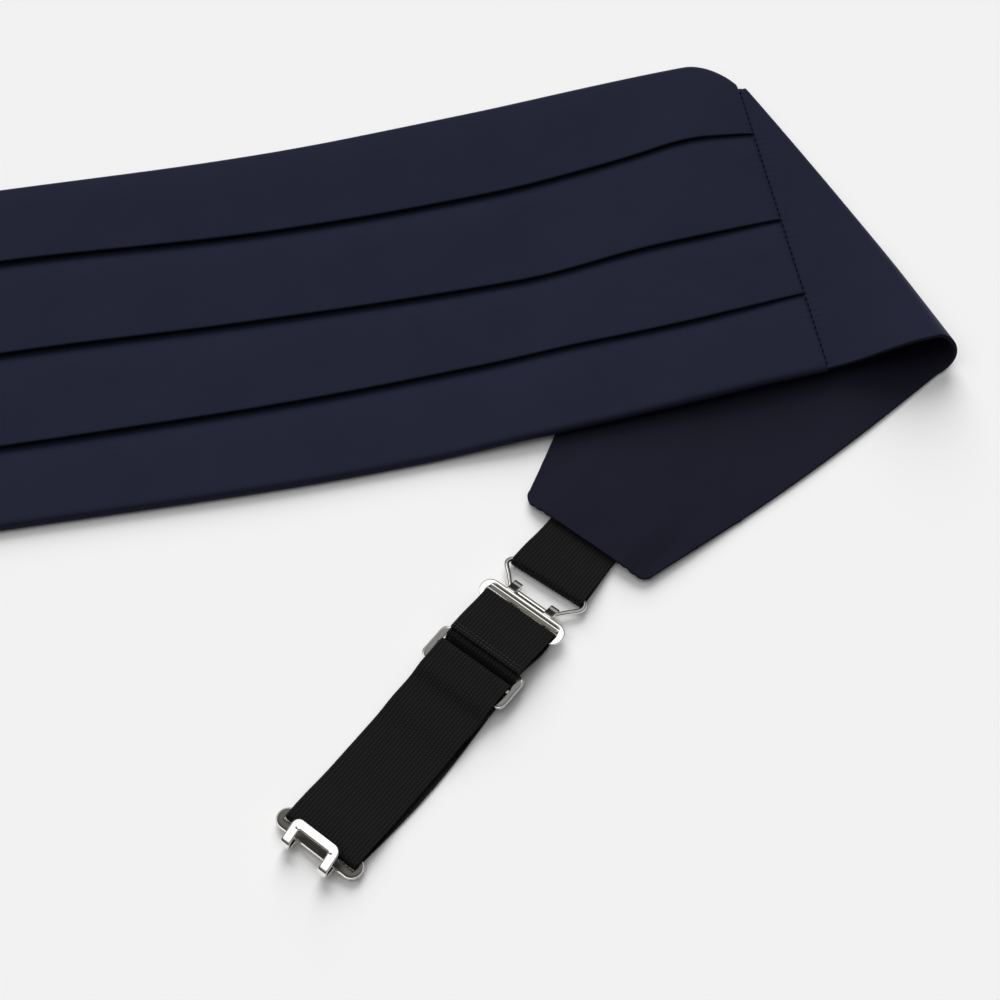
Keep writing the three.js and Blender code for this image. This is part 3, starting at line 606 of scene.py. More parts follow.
def wall_shell(grid, cloth_map, thickness, groove):
    """A grid of points made into a wall with a rounded rim; groove parts the rim in two."""
    rows, columns = grid.shape[:2]
    normal = np.cross(np.gradient(grid, axis=1), np.gradient(grid, axis=0))
    normal /= np.linalg.norm(normal, axis=2, keepdims=True)
    edge = ([(0, c) for c in range(columns)] + [(r, columns - 1) for r in range(1, rows)]
            + [(rows - 1, c) for c in range(columns - 2, -1, -1)]
            + [(r, 0) for r in range(rows - 2, 0, -1)])
    edge_rows, edge_columns = np.array(edge).T
    border = grid[edge_rows, edge_columns]
    border_normal = normal[edge_rows, edge_columns]
    inner = grid[np.clip(edge_rows, 1, rows - 2), np.clip(edge_columns, 1, columns - 2)]
    outward = np.cross(np.roll(border, -1, axis=0) - np.roll(border, 1, axis=0), border_normal)
    outward /= np.linalg.norm(outward, axis=1, keepdims=True)
    outward *= np.sign(np.sum(outward * (border - inner), axis=1))[:, None]
    upper = (grid + normal * thickness / 2).reshape(-1, 3)
    lower = (grid - normal * thickness / 2).reshape(-1, 3)
    rims = [
        border + border_normal * rise * thickness
        + outward * ((reach if reach else -groove) * thickness)
        for rise, reach in zip(RIM_RISE, RIM_REACH)]
    number = np.arange(rows * columns).reshape(rows, columns)
    quads = np.stack(
        [number[:-1, :-1], number[1:, :-1], number[1:, 1:], number[:-1, 1:]], axis=-1)
    quads = quads.reshape(-1, 4)
    loops = [number[edge_rows, edge_columns]]
    loops += [2 * rows * columns + len(edge) * level + np.arange(len(edge))
              for level in range(len(rims))]
    loops.append(rows * columns + loops[0])
    strips = [
        np.stack([first, np.roll(first, -1), np.roll(second, -1), second], axis=-1)
        for first, second in zip(loops, loops[1:])]
    source = np.concatenate([number.ravel(), number.ravel(), *[loops[0] for _ in rims]])
    return {
        "points": np.concatenate([upper, lower, *rims]),
        "faces": np.concatenate([quads, quads[:, ::-1] + rows * columns, *strips]),
        "map": cloth_map.reshape(-1, 2)[source],
        "source": source,
    }


def shell_piece(name, shells, material, values=None):
    """One piece from closed shells; values are a named number for every point."""
    starts = np.cumsum([0] + [len(shell["points"]) for shell in shells])
    faces = np.concatenate([shell["faces"] + start for shell, start in zip(shells, starts)])
    point_map = np.concatenate([shell["map"] for shell in shells])
    points = np.concatenate([shell["points"] for shell in shells])
    piece = new_piece(name, points, faces.tolist(), point_map[faces.ravel()], material)
    for key, numbers in (values or {}).items():
        piece.data.attributes.new(key, "FLOAT", "POINT").data.foreach_set("value", numbers)
    return piece


# %% [markdown]
# ## Seams pull
#
# A line of stitches draws the cloth down and gathers it a little, so both sides of a seam show
# a shallow valley with a pucker at every stitch. The front and the panels use the same rule, so
# that their puckers meet.

# %% Puckers
STITCH_PITCH = 2.3
SEAM_DIP = 0.7
DIP_REACH = 0.9
PUCKER = 0.2
PUCKER_REACH = 2.6


def pulled(distance, y):
    """How far the cloth is drawn down at a distance from a seam, at a height on it."""
    wander = 0.9 * np.sin(y * 0.31) + 0.6 * np.sin(y * 0.83 + 1.7)
    each = 0.5 + 0.5 * np.cos(2 * np.pi * y / STITCH_PITCH + wander)
    strength = 0.65 + 0.35 * np.sin(y * 0.19 + 0.8)
    return (SEAM_DIP * np.exp(-distance / DIP_REACH)
            + PUCKER * strength * each * np.exp(-distance / PUCKER_REACH))


def ripple(points, size, reach):
    """Slow, shallow waves of the cloth, the same on every run."""
    return np.array([noise.noise(Vector(point) / reach) for point in points]) * size


# %% [markdown]
# ## The pleated front
#
# Each pleat is a fold whose lower edge lies on the next pleat like a roof tile. The section
# below follows the cloth: round the top edge, down the first pleat to its lip, back under the
# lip, out again over the next pleat, and last round the bottom edge to the flat underside.
# The pleats stand high in the middle of the front and are pressed flat by the seams.

# %% The front's section
FACE_POINTS = 60
LIP_POINTS = 7
EDGE_POINTS = 9
UNDERSIDE_POINTS = 10
TOP_ROUND = 2.4
TOP_HEIGHT = 2.4
BOTTOM_ROUND = 1.9
VALLEY_REACH = 4.8
VALLEY_SHARE = 0.72
VALLEY_SINK = 1.35
PLY_CLEARANCE = 0.15
PRESS_REACH = 30
PRESS_SHARE = 0.55
RELIEF_AT_RIGHT = 0.72
LIP_FLAT, LIP_RELIEF = 2.3, 1.3
PLY_FLAT, PLY_RELIEF = 0.55, 0.4
TUCK_WIDTH = 1.3


def front_section(along):
    """Points (y, z) round the section, without the lift."""
    top, pleats, bottom, _ = front_lines(along)
    x = along * FRONT_HALF
    press = smooth(FRONT_HALF - PRESS_REACH, FRONT_HALF, abs(x))
    relief = lerp(1.0, RELIEF_AT_RIGHT, smooth(0, 1, along)) * (1 - PRESS_SHARE * press)
    lip_top = LIP_FLAT + LIP_RELIEF * relief
    ply = PLY_FLAT + PLY_RELIEF * relief
    valley = lip_top - ply - PLY_CLEARANCE - VALLEY_SINK * relief
    turn = np.radians(np.linspace(-90, 90, EDGE_POINTS))
    points = [(top - TOP_ROUND + TOP_ROUND * math.cos(a), TOP_HEIGHT / 2 * (1 + math.sin(a)))
              for a in turn]
    uppers = [top - TOP_ROUND, *pleats]
    lowers = [*[pleat + ply / 2 for pleat in pleats], bottom + BOTTOM_ROUND]
    face_shares = np.linspace(0, 1, FACE_POINTS + 1)[1:] ** 1.3
    for pleat, (upper, lower) in enumerate(zip(uppers, lowers)):
        start = TOP_HEIGHT if pleat == 0 else valley
        if pleat > 0:
            points += [(upper + back, valley) for back in (PLEAT_OVERLAP, TUCK_WIDTH, 0)]
        fallen = (upper - lower) * face_shares
        steep = lerp(face_shares, 1 - np.exp(-fallen / VALLEY_REACH), VALLEY_SHARE)
        points += list(zip(upper - fallen, start + (lip_top - start) * steep / steep[-1]))
        if pleat < len(pleats):
            for a in np.radians(np.linspace(90, 270, LIP_POINTS))[1:]:
                points.append((lower + ply / 2 * math.cos(a),
                               lip_top - ply / 2 + ply / 2 * math.sin(a)))
            points.append((lower + PLEAT_OVERLAP, lip_top - ply))
    for a in np.radians(np.linspace(90, -90, EDGE_POINTS))[1:]:
        points.append((bottom + BOTTOM_ROUND - BOTTOM_ROUND * math.cos(a),
                       lip_top / 2 + lip_top / 2 * math.sin(a)))
    for y in np.linspace(bottom + BOTTOM_ROUND, top - TOP_ROUND, UNDERSIDE_POINTS + 2)[1:-1]:
        points.append((y, 0.0))
    return np.array(points)


# %% Build the front
SEAM_STEPS = np.array(
    [0, 0.35, 0.7, 1.1, 1.6, 2.2, 3, 4, 5.2, 6.6, 8.2, 9.8, 11.4, 13, 14.8, 17, 20, 24])
EVEN_STATIONS = 112
FRONT_WAVE, FRONT_WAVE_REACH = 0.22, 24


def front_stations():
    near = SEAM_STEPS / FRONT_HALF
    middle = np.linspace(-1 + near[-1], 1 - near[-1], EVEN_STATIONS)
    return np.concatenate([-1 + near[:-1], middle, (1 - near[:-1])[::-1]])


def build_front():
    stations = front_stations()
    sections = np.array([front_section(along) for along in stations])
    y, z = sections[..., 0], sections[..., 1]
    along = stations[:, None]
    x = along * FRONT_HALF - SEAM_LEAN * (y - SEAM_MIDDLE) * smooth(0, 1, along)
    face = smooth(1.0, 2.0, z)
    to_seam = FRONT_HALF * (1 - np.abs(along))
    z = z - pulled(to_seam, y) * face
    spots = np.stack([x * 0.6, y, z * 0], axis=-1).reshape(-1, 3)
    wave = ripple(spots, FRONT_WAVE, FRONT_WAVE_REACH)
    z = z + wave.reshape(z.shape) * face + front_lift(x, y)
    rings = np.stack([x, y, z], axis=-1)
    closed = np.concatenate([sections, sections[:, :1]], axis=1)
    steps = np.linalg.norm(np.diff(closed, axis=1), axis=2)
    runs = np.concatenate([np.zeros((len(steps), 1)), np.cumsum(steps, axis=1)], axis=1)
    return lofted("satin_front", rings, runs, stations * FRONT_HALF, satin)


satin_front = build_front()

# %% [markdown]
# ## The side panels
#
# A side panel is lined satin that tapers to a short end with rounded corners. The right one is a
# single sheet: out from the seam, round the fold, and back under the front to the elastic. The
# left one lies open. Each is raised over the elastic tab that is sewn under its short end,
# and its end gathers a little on both sides of the tab.

# %% Shared rules of the panels
PANEL_CLOTH = PANEL * 0.86
PLY_GROOVE = 0.22
SEAM_INSET = 1
SEAM_REACH = 15
PANEL_WAVE_REACH = 26
END_PUCKER = 0.3
END_PUCKER_PITCH = 3.2
END_RIPPLE = 0.06
TAB_RAMP = 34
PAST_TAB = (0.5, 10.5)
CORNER_RISE = 0.5
CORNER_RUN_NEAR, CORNER_RUN_FAR = 15, 42


def panel_end(closure, share):
    """Points of a panel's short end; share runs across it."""
    side = (share - 0.5) * PANEL_END_WIDTH
    into_corner = np.maximum(PANEL_CORNER - (PANEL_END_WIDTH / 2 - np.abs(side)), 0)
    drawn = PANEL_CORNER - np.sqrt(PANEL_CORNER**2 - into_corner**2)
    return closure.plan(-drawn, side)


def end_places(closure, plan):
    """How far inside the short end a point is, and how far beside its tab."""
    offset = plan - closure.middle
    return -offset @ closure.outward, np.abs(offset @ closure.side) - ELASTIC_WIDTH / 2


def tab_lift(closure, plan):
    inside, beside = end_places(closure, plan)
    past_tab = smooth(*PAST_TAB, beside)
    raised = (1 - smooth(TAB_TUCK - 2, TAB_TUCK + TAB_RAMP, inside)) * (1 - past_tab)
    side = (plan - closure.middle) @ closure.side
    corner_run = np.where(side > 0, CORNER_RUN_FAR, CORNER_RUN_NEAR)
    raised = raised + CORNER_RISE * past_tab * (1 - smooth(3, corner_run, inside))
    gather = np.exp(-np.maximum(inside, 0) / 2.5) * smooth(-1, 1.5, beside)
    return TAB_STACK * raised + END_RIPPLE * gather * np.sin(2 * np.pi * side / END_PUCKER_PITCH)


def gathered_end(closure, plan):
    """The short end's edge is drawn in a little between its gathers."""
    inside, beside = end_places(closure, plan)
    side = (plan - closure.middle) @ closure.side
    drawn = np.exp(-np.maximum(inside, 0) / 1.5) * smooth(0, 1.5, beside)
    drawn = drawn * (0.5 + 0.5 * np.sin(2 * np.pi * side / END_PUCKER_PITCH + 1.2))
    return plan - closure.outward * (END_PUCKER * drawn)[..., None]


def grid_runs(grid):
    """The running length of each point along its row, from the row's start."""
    steps = np.linalg.norm(np.diff(grid, axis=1), axis=2)
    return np.concatenate([np.zeros((len(grid), 1)), np.cumsum(steps, axis=1)], axis=1)


def lined_panel(name, columns, share, wave):
    """A wall of satin through columns of points, pulled at its seam and lined at its back; the
    back is painted darker, partly as painted shade.
    """
    grid = np.stack(columns, axis=1)
    runs = grid_runs(grid)
    grid[..., 2] -= pulled(runs, grid[..., 1]) * (runs < SEAM_REACH)
    waves = ripple((grid * 0.8).reshape(-1, 3), wave, PANEL_WAVE_REACH).reshape(runs.shape)
    grid[..., 2] += waves * (1 - np.exp(-runs / 12)) * smooth(2.2, 5, grid[..., 2])
    across = np.broadcast_to(share * FRONT_HEIGHT, runs.shape)
    shell = wall_shell(grid, np.stack([runs, across], axis=-1), PANEL_CLOTH, PLY_GROOVE)
    lining = np.zeros(len(shell["points"]))
    lining[:runs.size] = 1
    lining[2 * runs.size:] = 0.5
    return shell_piece(name, [shell], satin, {"lining": lining})


# %% The right panel
RIGHT_ROWS = 270
UPPER_STEPS = 26
FOLD_STEPS = 20
UNDER_STEPS = 60
RIGHT_WAVE = 0.25


def build_panel_right():
    share = lerp(np.linspace(0, 1, RIGHT_ROWS), eased(RIGHT_ROWS - 1), 0.25)[:, None]
    radius = lerp(FOLD_HEAD_RADIUS, FOLD_FOOT_RADIUS, share**FOLD_OPENING)
    slip = FOLD_SLIP * share**2
    tip = fold_tip(share) + np.array([0, FOLD_HEAD_RISE]) * (1 - share) ** 3
    seam_y = lerp(FOLD_HEAD[1] + FOLD_HEAD_RISE, seam_bottom + SEAM_INSET, share)
    seam = np.concatenate([seam_x(seam_y) + GAP, seam_y], axis=1)
    crest = tip + FOLD_INWARD * radius - FOLD_DOWN * slip
    crest_height = PANEL / 2 + 2 * radius
    seam_height = front_lift(seam_x(seam_y), seam_y) + (FRONT_BASE + PLEAT_PLY) / 2
    columns = []
    for step in eased(UPPER_STEPS)[:-1]:
        height = lerp(seam_height, crest_height, smooth(0, 1, step))
        columns.append(np.concatenate([lerp(seam, crest, step), height], axis=1))
    for step in np.linspace(0, 1, FOLD_STEPS + 1):
        turn = math.pi * (0.5 - step)
        risen = (1 + math.sin(turn)) / 2
        plan = tip + FOLD_INWARD * radius * (1 - math.cos(turn)) - FOLD_DOWN * slip * risen**2
        columns.append(np.concatenate([plan, PANEL / 2 + 2 * radius * risen], axis=1))
    touch = tip + FOLD_INWARD * radius
    end = panel_end(RIGHT, share[:, 0])
    bow = lerp(-UNDER_TOP_BOW, UNDER_FOOT_BOW, share)
    for step in late(UNDER_STEPS)[1:]:
        plan = lerp(touch, end, step) + RIGHT.side * bow * math.sin(math.pi * step)
        plan = gathered_end(RIGHT, plan)
        height = PANEL / 2 + tab_lift(RIGHT, plan)[:, None]
        columns.append(np.concatenate([plan, height], axis=1))
    return lined_panel("satin_panel_right", columns, share, RIGHT_WAVE)


satin_panel_right = build_panel_right()

# %% The left panel
LEFT_ROWS = 250
LEFT_STEPS = 70
SEAM_SETTLE = 0.2


def build_panel_left():
    top, _, bottom, _ = front_lines(-1.0)
    share = np.linspace(0, 1, LEFT_ROWS)[:, None]
    seam_y = lerp(bottom + SEAM_INSET, top - SEAM_INSET, share)
    seam = np.concatenate([np.full_like(seam_y, -FRONT_HALF - GAP), seam_y], axis=1)
    end = panel_end(LEFT, 1 - share[:, 0])
    bow = lerp(PANEL_EDGE_BOW, -PANEL_EDGE_BOW, share)
    columns = []
    for step in eased(LEFT_STEPS):
        plan = lerp(seam, end, step)
        plan[:, 1] += (bow * math.sin(math.pi * step))[:, 0]
        plan = gathered_end(LEFT, plan)
        settled = smooth(0, SEAM_SETTLE, step)
        rise = (FRONT_BASE + PLEAT_PLY - PANEL) / 2 * (1 - settled)
        height = PANEL / 2 + rise + tab_lift(LEFT, plan)
        columns.append(np.concatenate([plan, height[:, None]], axis=1))
    return lined_panel("satin_panel_left", columns, share, 0)


satin_panel_left = build_panel_left()

# %% [markdown]
# ## Growing pieces with Geometry Nodes
#
# Ribs, stitches and bent wire all repeat or follow a path, which is what Geometry Nodes are for.
# grown() runs a tree on a base mesh with its named inputs, and keeps the result as a plain mesh,
# so that nothing is left to evaluate later.

# %% Grow a mesh through a tree
def geometry_tree(name, inputs):
    """A Geometry Nodes tree with named inputs, its Tree, and its first and last nodes."""
    group = bpy.data.node_groups.new(name, "GeometryNodeTree")
    group.interface.new_socket("Geometry", in_out="INPUT", socket_type="NodeSocketGeometry")
    for label, kind in inputs.items():
        group.interface.new_socket(label, in_out="INPUT", socket_type=kind)
    group.interface.new_socket("Geometry", in_out="OUTPUT", socket_type="NodeSocketGeometry")
    tree = Tree(group)
    return group, tree, tree.node("NodeGroupInput"), tree.node("NodeGroupOutput")


def finish_tree(tree, geometry, given, result):
    """Every tree ends in real geometry with its material set."""
    real = tree.node("GeometryNodeRealizeInstances", None, {"Geometry": geometry})
    dressed = tree.node("GeometryNodeSetMaterial", None, {
        "Geometry": real.outputs[0], "Material": given.outputs["Material"]})
    tree.tree.links.new(dressed.outputs[0], result.inputs[0])


def grown(piece, group, **values):
    modifier = piece.modifiers.new(group.name, "NODES")
    modifier.node_group = group
    for item in group.interface.items_tree:
        if item.in_out == "INPUT" and item.name in values:
            modifier[item.identifier] = values[item.name]
    scene.view_layers[0].update()
    depsgraph = bpy.context.evaluated_depsgraph_get()
    mesh = bpy.data.meshes.new_from_object(
        piece.evaluated_get(depsgraph), preserve_all_data_layers=True, depsgraph=depsgraph)
    piece.modifiers.clear()
    piece.data = mesh
    mesh.name = piece.name
    mesh.polygons.foreach_set("use_smooth", [True] * len(mesh.polygons))
    mesh.update()
    print(piece.name, "has grown to", len(mesh.polygons), "faces")
    return piece


def path_piece(name, points, closed=False):
    """A piece that is only a line of points, for a tree to follow."""
    mesh = bpy.data.meshes.new(name)
    count = len(points)
    pairs = [(i, (i + 1) % count) for i in range(count if closed else count - 1)]
    mesh.from_pydata(in_frame(points).tolist(), pairs, [])
    piece = bpy.data.objects.new(name, mesh)
    scene.collection.objects.link(piece)
    return piece


# %% [markdown]
# ## Ribbed elastic
#
# A ribbon follows its route in side view: straight runs, slow sweeps and half turns round bars.
# The ribs are added by a tree that moves each point along its normal, by a wave across the
# ribbon. As shape, and not only as bump, they catch the light at every angle.

# %% The rib tree
RIB_HEIGHT = 0.00012


def rib_tree():
    group, tree, given, result = geometry_tree("elastic_ribs", {
        "Rib Pitch": "NodeSocketFloat", "Rib Height": "NodeSocketFloat",
        "Material": "NodeSocketMaterial"})
    across = tree.shade(
        "GeometryNodeInputNamedAttribute", 0, {"data_type": "FLOAT"}, {"Name": "across"})
    pitch = Shade(tree, given.outputs["Rib Pitch"])
    height = Shade(tree, given.outputs["Rib Height"])
    wave = across.math("DIVIDE", across * math.pi, pitch).sine().size()
    normal = tree.node("GeometryNodeInputNormal")
    offset = tree.node("ShaderNodeVectorMath", {"operation": "SCALE"}, {
        0: normal.outputs[0], "Scale": (wave - 0.5) * height})
    moved = tree.node("GeometryNodeSetPosition", None, {
        "Geometry": given.outputs["Geometry"], "Offset": offset.outputs[0]})
    finish_tree(tree, moved.outputs[0], given, result)
    return group


elastic_ribs = rib_tree()

# %% Routes and ribbons
class Route:
    """A route in side view: rows of reach, height and sideways slip."""

    def __init__(self, reach, height):
        self.points = [(reach, height, 0.0)]

    def line(self, reach, height, steps=1, slip=0.0):
        start = self.points[-1]
        for share in np.linspace(0, 1, steps + 1)[1:]:
            self.points.append((lerp(start[0], reach, share), lerp(start[1], height, share),
                                slip * math.sin(math.pi * share)))
        return self

    def sweep(self, reach, height, steps, slip=0.0):
        """An S that starts and ends level."""
        start = self.points[-1]
        for share in np.linspace(0, 1, steps + 1)[1:]:
            ease = 3 * share**2 - 2 * share**3
            middle = 1.5 * share * (1 - share) ** 2 + 1.5 * share**2 * (1 - share) + share**3
            self.points.append((lerp(start[0], reach, middle), lerp(start[1], height, ease),
                                slip * math.sin(math.pi * share)))
        return self

    def turn(self, height, outward, steps=14):
        """A half turn to the point straight above or below."""
        start = self.points[-1]
        radius, centre = abs(height - start[1]) / 2, (height + start[1]) / 2
        for angle in np.linspace(0, math.pi, steps + 1)[1:]:
            self.points.append((start[0] + outward * radius * math.sin(angle),
                                centre + (start[1] - centre) * math.cos(angle), 0.0))
        return self


RIBBON_COLUMNS = 120
RIBBON_ROUND = -0.2
TAB_FOLD = 17.2


def ribbon(name, closure, route, shift_side=0.0, slant=0.0, taper=0.0):
    """Ribbed elastic along a route; slant turns its far end, taper narrows its near end."""
    reach, height, slip = np.array(route.points).T[..., None]
    side = np.linspace(-0.5, 0.5, RIBBON_COLUMNS + 1) * ELASTIC_WIDTH + 0 * reach
    across = side + ELASTIC_WIDTH / 2
    toward_fold = np.clip(reach / TAB_FOLD, 0, 1)
    reach = reach - slant * side * toward_fold**2
    side = side - taper * across * (1 - toward_fold)
    grid = closure.place(reach, side + slip + shift_side, height + 0 * side)
    along = grid_runs(grid.transpose(1, 0, 2)).T
    shell = wall_shell(grid, np.stack([along, across], axis=-1), ELASTIC * 0.86, RIBBON_ROUND)
    values = {"across": across.ravel()[shell["source"]] / 1000}
    return grown(shell_piece(name, [shell], elastic, values), elastic_ribs, **{
        "Rib Pitch": RIB_PITCH, "Rib Height": RIB_HEIGHT, "Material": elastic})


# %% [markdown]
# ## The elastic tabs
#
# A short loop of elastic comes out from under each short end, turns round the wire eye's wide
# side and goes back under the panel.

# %% Tabs
WIRE = 1.5
EYE_HEIGHT = ELASTIC + GAP + WIRE / 2
TAB_TURN = WIRE / 2 + GAP + ELASTIC / 2


def tab_route():
    top = ELASTIC * 1.5 + PLY_GAP
    return (Route(-TAB_TUCK, ELASTIC / 2)
            .line(TAB_FOLD, ELASTIC / 2, 8)
            .turn(EYE_HEIGHT + TAB_TURN, 1)
            .sweep(1, top, 22)
            .line(-TAB_TUCK, top, 4))


TAB_SLANT = 0.045
TAB_TAPER = 0.055
elastic_right = ribbon(
    "elastic_right", RIGHT, tab_route(), slant=TAB_SLANT, taper=TAB_TAPER)
elastic_left = ribbon(
    "elastic_left", LEFT, tab_route(), slant=TAB_SLANT, taper=TAB_TAPER)

# %% [markdown]
# ## The adjustable strap
#
# The strap starts as a sewn flap on top, turns round the upper hook's bar, passes over the
# slide's first bar and under its middle bar, and runs along the table to the lower hook. There
# it turns back as the upper ply and ends round the slide's middle bar.

# %% Places along the strap
SHEET = 0.9
BAR_GAP = 0.35
HOOK_FRONT_BAR = 3.0
HOOK_SLOT = 2.0
HOOK_REAR_BAR = 2.1
HOOK_SLACK = 0.6
LOOP_SLACK = 0.2
EYE_DEPTH = 11.2
STRAP_SIDE = 0.6
FLAP_LENGTH = 17.8
SLIDE_LENGTH = 12.4
SLIDE_THICK = 1.2
SLIDE_BAR = 1.2
STRAP_REACH = 72.5
TAIL_LENGTH = 19
UPPER_SLIP = 0.5
LOWER_SLIP = 1.4

upper_hook_front = TAB_REACH + EYE_DEPTH + WIRE / 2 + HOOK_SLACK
upper_plate = EYE_HEIGHT + WIRE / 2 + GAP + SHEET / 2
bar_turn = SHEET / 2 + BAR_GAP + ELASTIC / 2
upper_loop = upper_hook_front + HOOK_FRONT_BAR + HOOK_SLOT + LOOP_SLACK
flap_end = upper_loop - bar_turn - ELASTIC / 2 + FLAP_LENGTH
slide_start = flap_end - SLIDE_BAR / 2
slide_middle = slide_start + SLIDE_LENGTH / 2
slide_end = slide_start + SLIDE_LENGTH
slide_turn = math.hypot(SLIDE_BAR, SLIDE_BAR) / 2 + BAR_GAP + ELASTIC / 2
slide_height = ELASTIC * 1.5 + GAP + slide_turn
lower_hook_front = slide_middle + STRAP_REACH
lower_loop = lower_hook_front - HOOK_FRONT_BAR - HOOK_SLOT - LOOP_SLACK
lower_plate = ELASTIC / 2 + bar_turn
over_slide = slide_height + SLIDE_THICK / 2 + GAP + ELASTIC / 2
ply = ELASTIC + PLY_GAP
print("slide from", round(slide_start, 1), "to", round(slide_end, 1), "mm along the closure")

# %% The strap
LOOP_RAMP = 20
TAIL_RAMP = 12
SLIDE_REST = 9
FLAP_REST = 2


def strap_route():
    tail_height = slide_height - slide_turn
    tail_end = slide_middle + TAIL_LENGTH
    return (Route(flap_end, over_slide + ply)
            .line(flap_end - FLAP_REST, over_slide + ply, 3)
            .sweep(upper_loop, upper_plate + bar_turn, 20)
            .turn(upper_plate - bar_turn, -1)
            .sweep(slide_start - GAP, over_slide, 20, UPPER_SLIP)
            .line(slide_start + SLIDE_BAR, over_slide, 3)
            .sweep(slide_middle - SLIDE_BAR, ELASTIC / 2, 18)
            .line(slide_end + FLAP_REST, ELASTIC / 2, 6)
            .line(lower_loop - HOOK_REAR_BAR, ELASTIC / 2, 34, LOWER_SLIP)
            .line(lower_loop, ELASTIC / 2)
            .turn(lower_plate + bar_turn, 1)
            .line(lower_loop - HOOK_REAR_BAR, lower_plate + bar_turn)
            .sweep(lower_loop - LOOP_RAMP, ply + ELASTIC / 2, 14)
            .line(tail_end + TAIL_RAMP, ply + ELASTIC / 2, 10)
            .sweep(tail_end + GAP, tail_height + ply, 10)
            .line(slide_end + SLIDE_REST, tail_height + ply, 4)
            .sweep(slide_end + GAP, over_slide, 14)
            .line(slide_end - SLIDE_BAR - GAP, over_slide, 3)
            .sweep(slide_middle, slide_height + slide_turn, 6)
            .turn(tail_height, -1)
            .line(tail_end, tail_height, 8))


strap = ribbon("strap", RIGHT, strap_route(), STRAP_SIDE)

# %% [markdown]
# ## The wire eyes
#
# An eye is one piece of round wire, bent into a loop that is wide in the elastic and narrow
# where the hook goes. A tree sweeps a circle along the bent line.

# %% Bent wire
# Half of the wire's middle line, as reach and side in mm, from its wide bar to its narrow bar.
EYE_ROWS = (
    (17.2, 0.0), (17.2, 6.0), (17.2, 11.2), (17.4, 12.7), (18.3, 13.6), (19.6, 13.75),
    (20.9, 12.9), (22.8, 10.9), (24.5, 9.3), (25.5, 8.4), (26.15, 7.4), (26.3, 6.0), (26.3, 3.0))


def wire_tree():
    group, tree, given, result = geometry_tree("bent_wire", {
        "Radius": "NodeSocketFloat", "Steps": "NodeSocketInt", "Material": "NodeSocketMaterial"})
    line = tree.node("GeometryNodeMeshToCurve", None, {"Mesh": given.outputs["Geometry"]})
    bent = tree.node("GeometryNodeCurveSplineType", {"spline_type": "CATMULL_ROM"}, {
        "Curve": line.outputs[0]})
    fine = tree.node("GeometryNodeResampleCurve", None, {
        "Curve": bent.outputs[0], "Count": given.outputs["Steps"]})
    circle = tree.node("GeometryNodeCurvePrimitiveCircle", None, {
        "Resolution": 20, "Radius": given.outputs["Radius"]})
    wire = tree.node("GeometryNodeCurveToMesh", None, {
        "Curve": fine.outputs[0], "Profile Curve": circle.outputs[0]})
    finish_tree(tree, wire.outputs[0], given, result)
    return group


bent_wire = wire_tree()


def wire_eye(name, closure):
    outline = np.array(EYE_ROWS + tuple((reach, -side) for reach, side in EYE_ROWS[:0:-1]))
    outline[:, 0] -= TAB_SLANT * outline[:, 1] * smooth(26, 18, outline[:, 0])
    points = closure.place(outline[:, 0], outline[:, 1], EYE_HEIGHT)
    return grown(path_piece(name, points, closed=True), bent_wire, **{
        "Radius": WIRE / 2000, "Steps": 220, "Material": nickel})


wire_eye_right = wire_eye("wire_eye_right", RIGHT)
wire_eye_left = wire_eye("wire_eye_left", LEFT)

# %% [markdown]
# ## The stamped hooks
#
# A hook is stamped from sheet: a plate with a slot for the elastic, and a tongue on two legs that
# turns back over it. The press also dishes one side of the plate, inside a thin polished rim. The
# dish and the plate's bars are rougher and painted darker, as painted shade and dark reflection.
# The plate is a ring of cross sections round the slot, each looked up in one table, and the tongue
# is one bent strip. The lower hook shows its dished side, and the upper one lies upside down.

# %% Sections of a stamped plate
# The last two columns mark where the plate is rougher and painted darker, as painted shade and
# dark reflection.
STAMPED_COLUMNS = ("share", "plain", "dished", "barred", "shade_and_dull_dished", "shade_and_dull_barred")
STAMPED_ROWS = (
    (0.0, -0.28, -0.28, -0.28, 0, 0),
    (0.03, -0.08, -0.08, -0.08, 0, 0),
    (0.09, 0.0, 0.0, 0.0, 0, 0),
    (0.17, 0.0, 0.0, 0.0, 0, 0),
    (0.25, 0.0, -0.24, 0.0, 1, 0),
    (0.3, 0.0, -0.26, -0.2, 1, 1),
    (0.5, 0.0, -0.26, -0.22, 1, 1),
    (0.56, 0.0, -0.26, 0.0, 1, 0),
    (0.64, 0.0, -0.26, 0.0, 1, 0),
    (0.7, 0.0, -0.26, -0.1, 1, 1),
    (0.9, 0.0, -0.26, -0.4, 1, 1),
    (0.97, -0.08, -0.3, -0.44, 0.5, 1),
    (1.0, -0.28, -0.4, -0.5, 0, 1),
)
STAMPED = dict(zip(STAMPED_COLUMNS, np.array(STAMPED_ROWS).T))
CORNER_STEPS = 12
STRAIGHT_STEPS = 16
PLATE_HALF = 15.2
SLOT_HALF = ELASTIC_WIDTH / 2 + GAP
UNDERSIDE_SHARES = np.array([0.98, 0.9, 0.1, 0.02])
UNDERSIDE_LEVELS = np.array([0.1, 0.0, 0.0, 0.1])


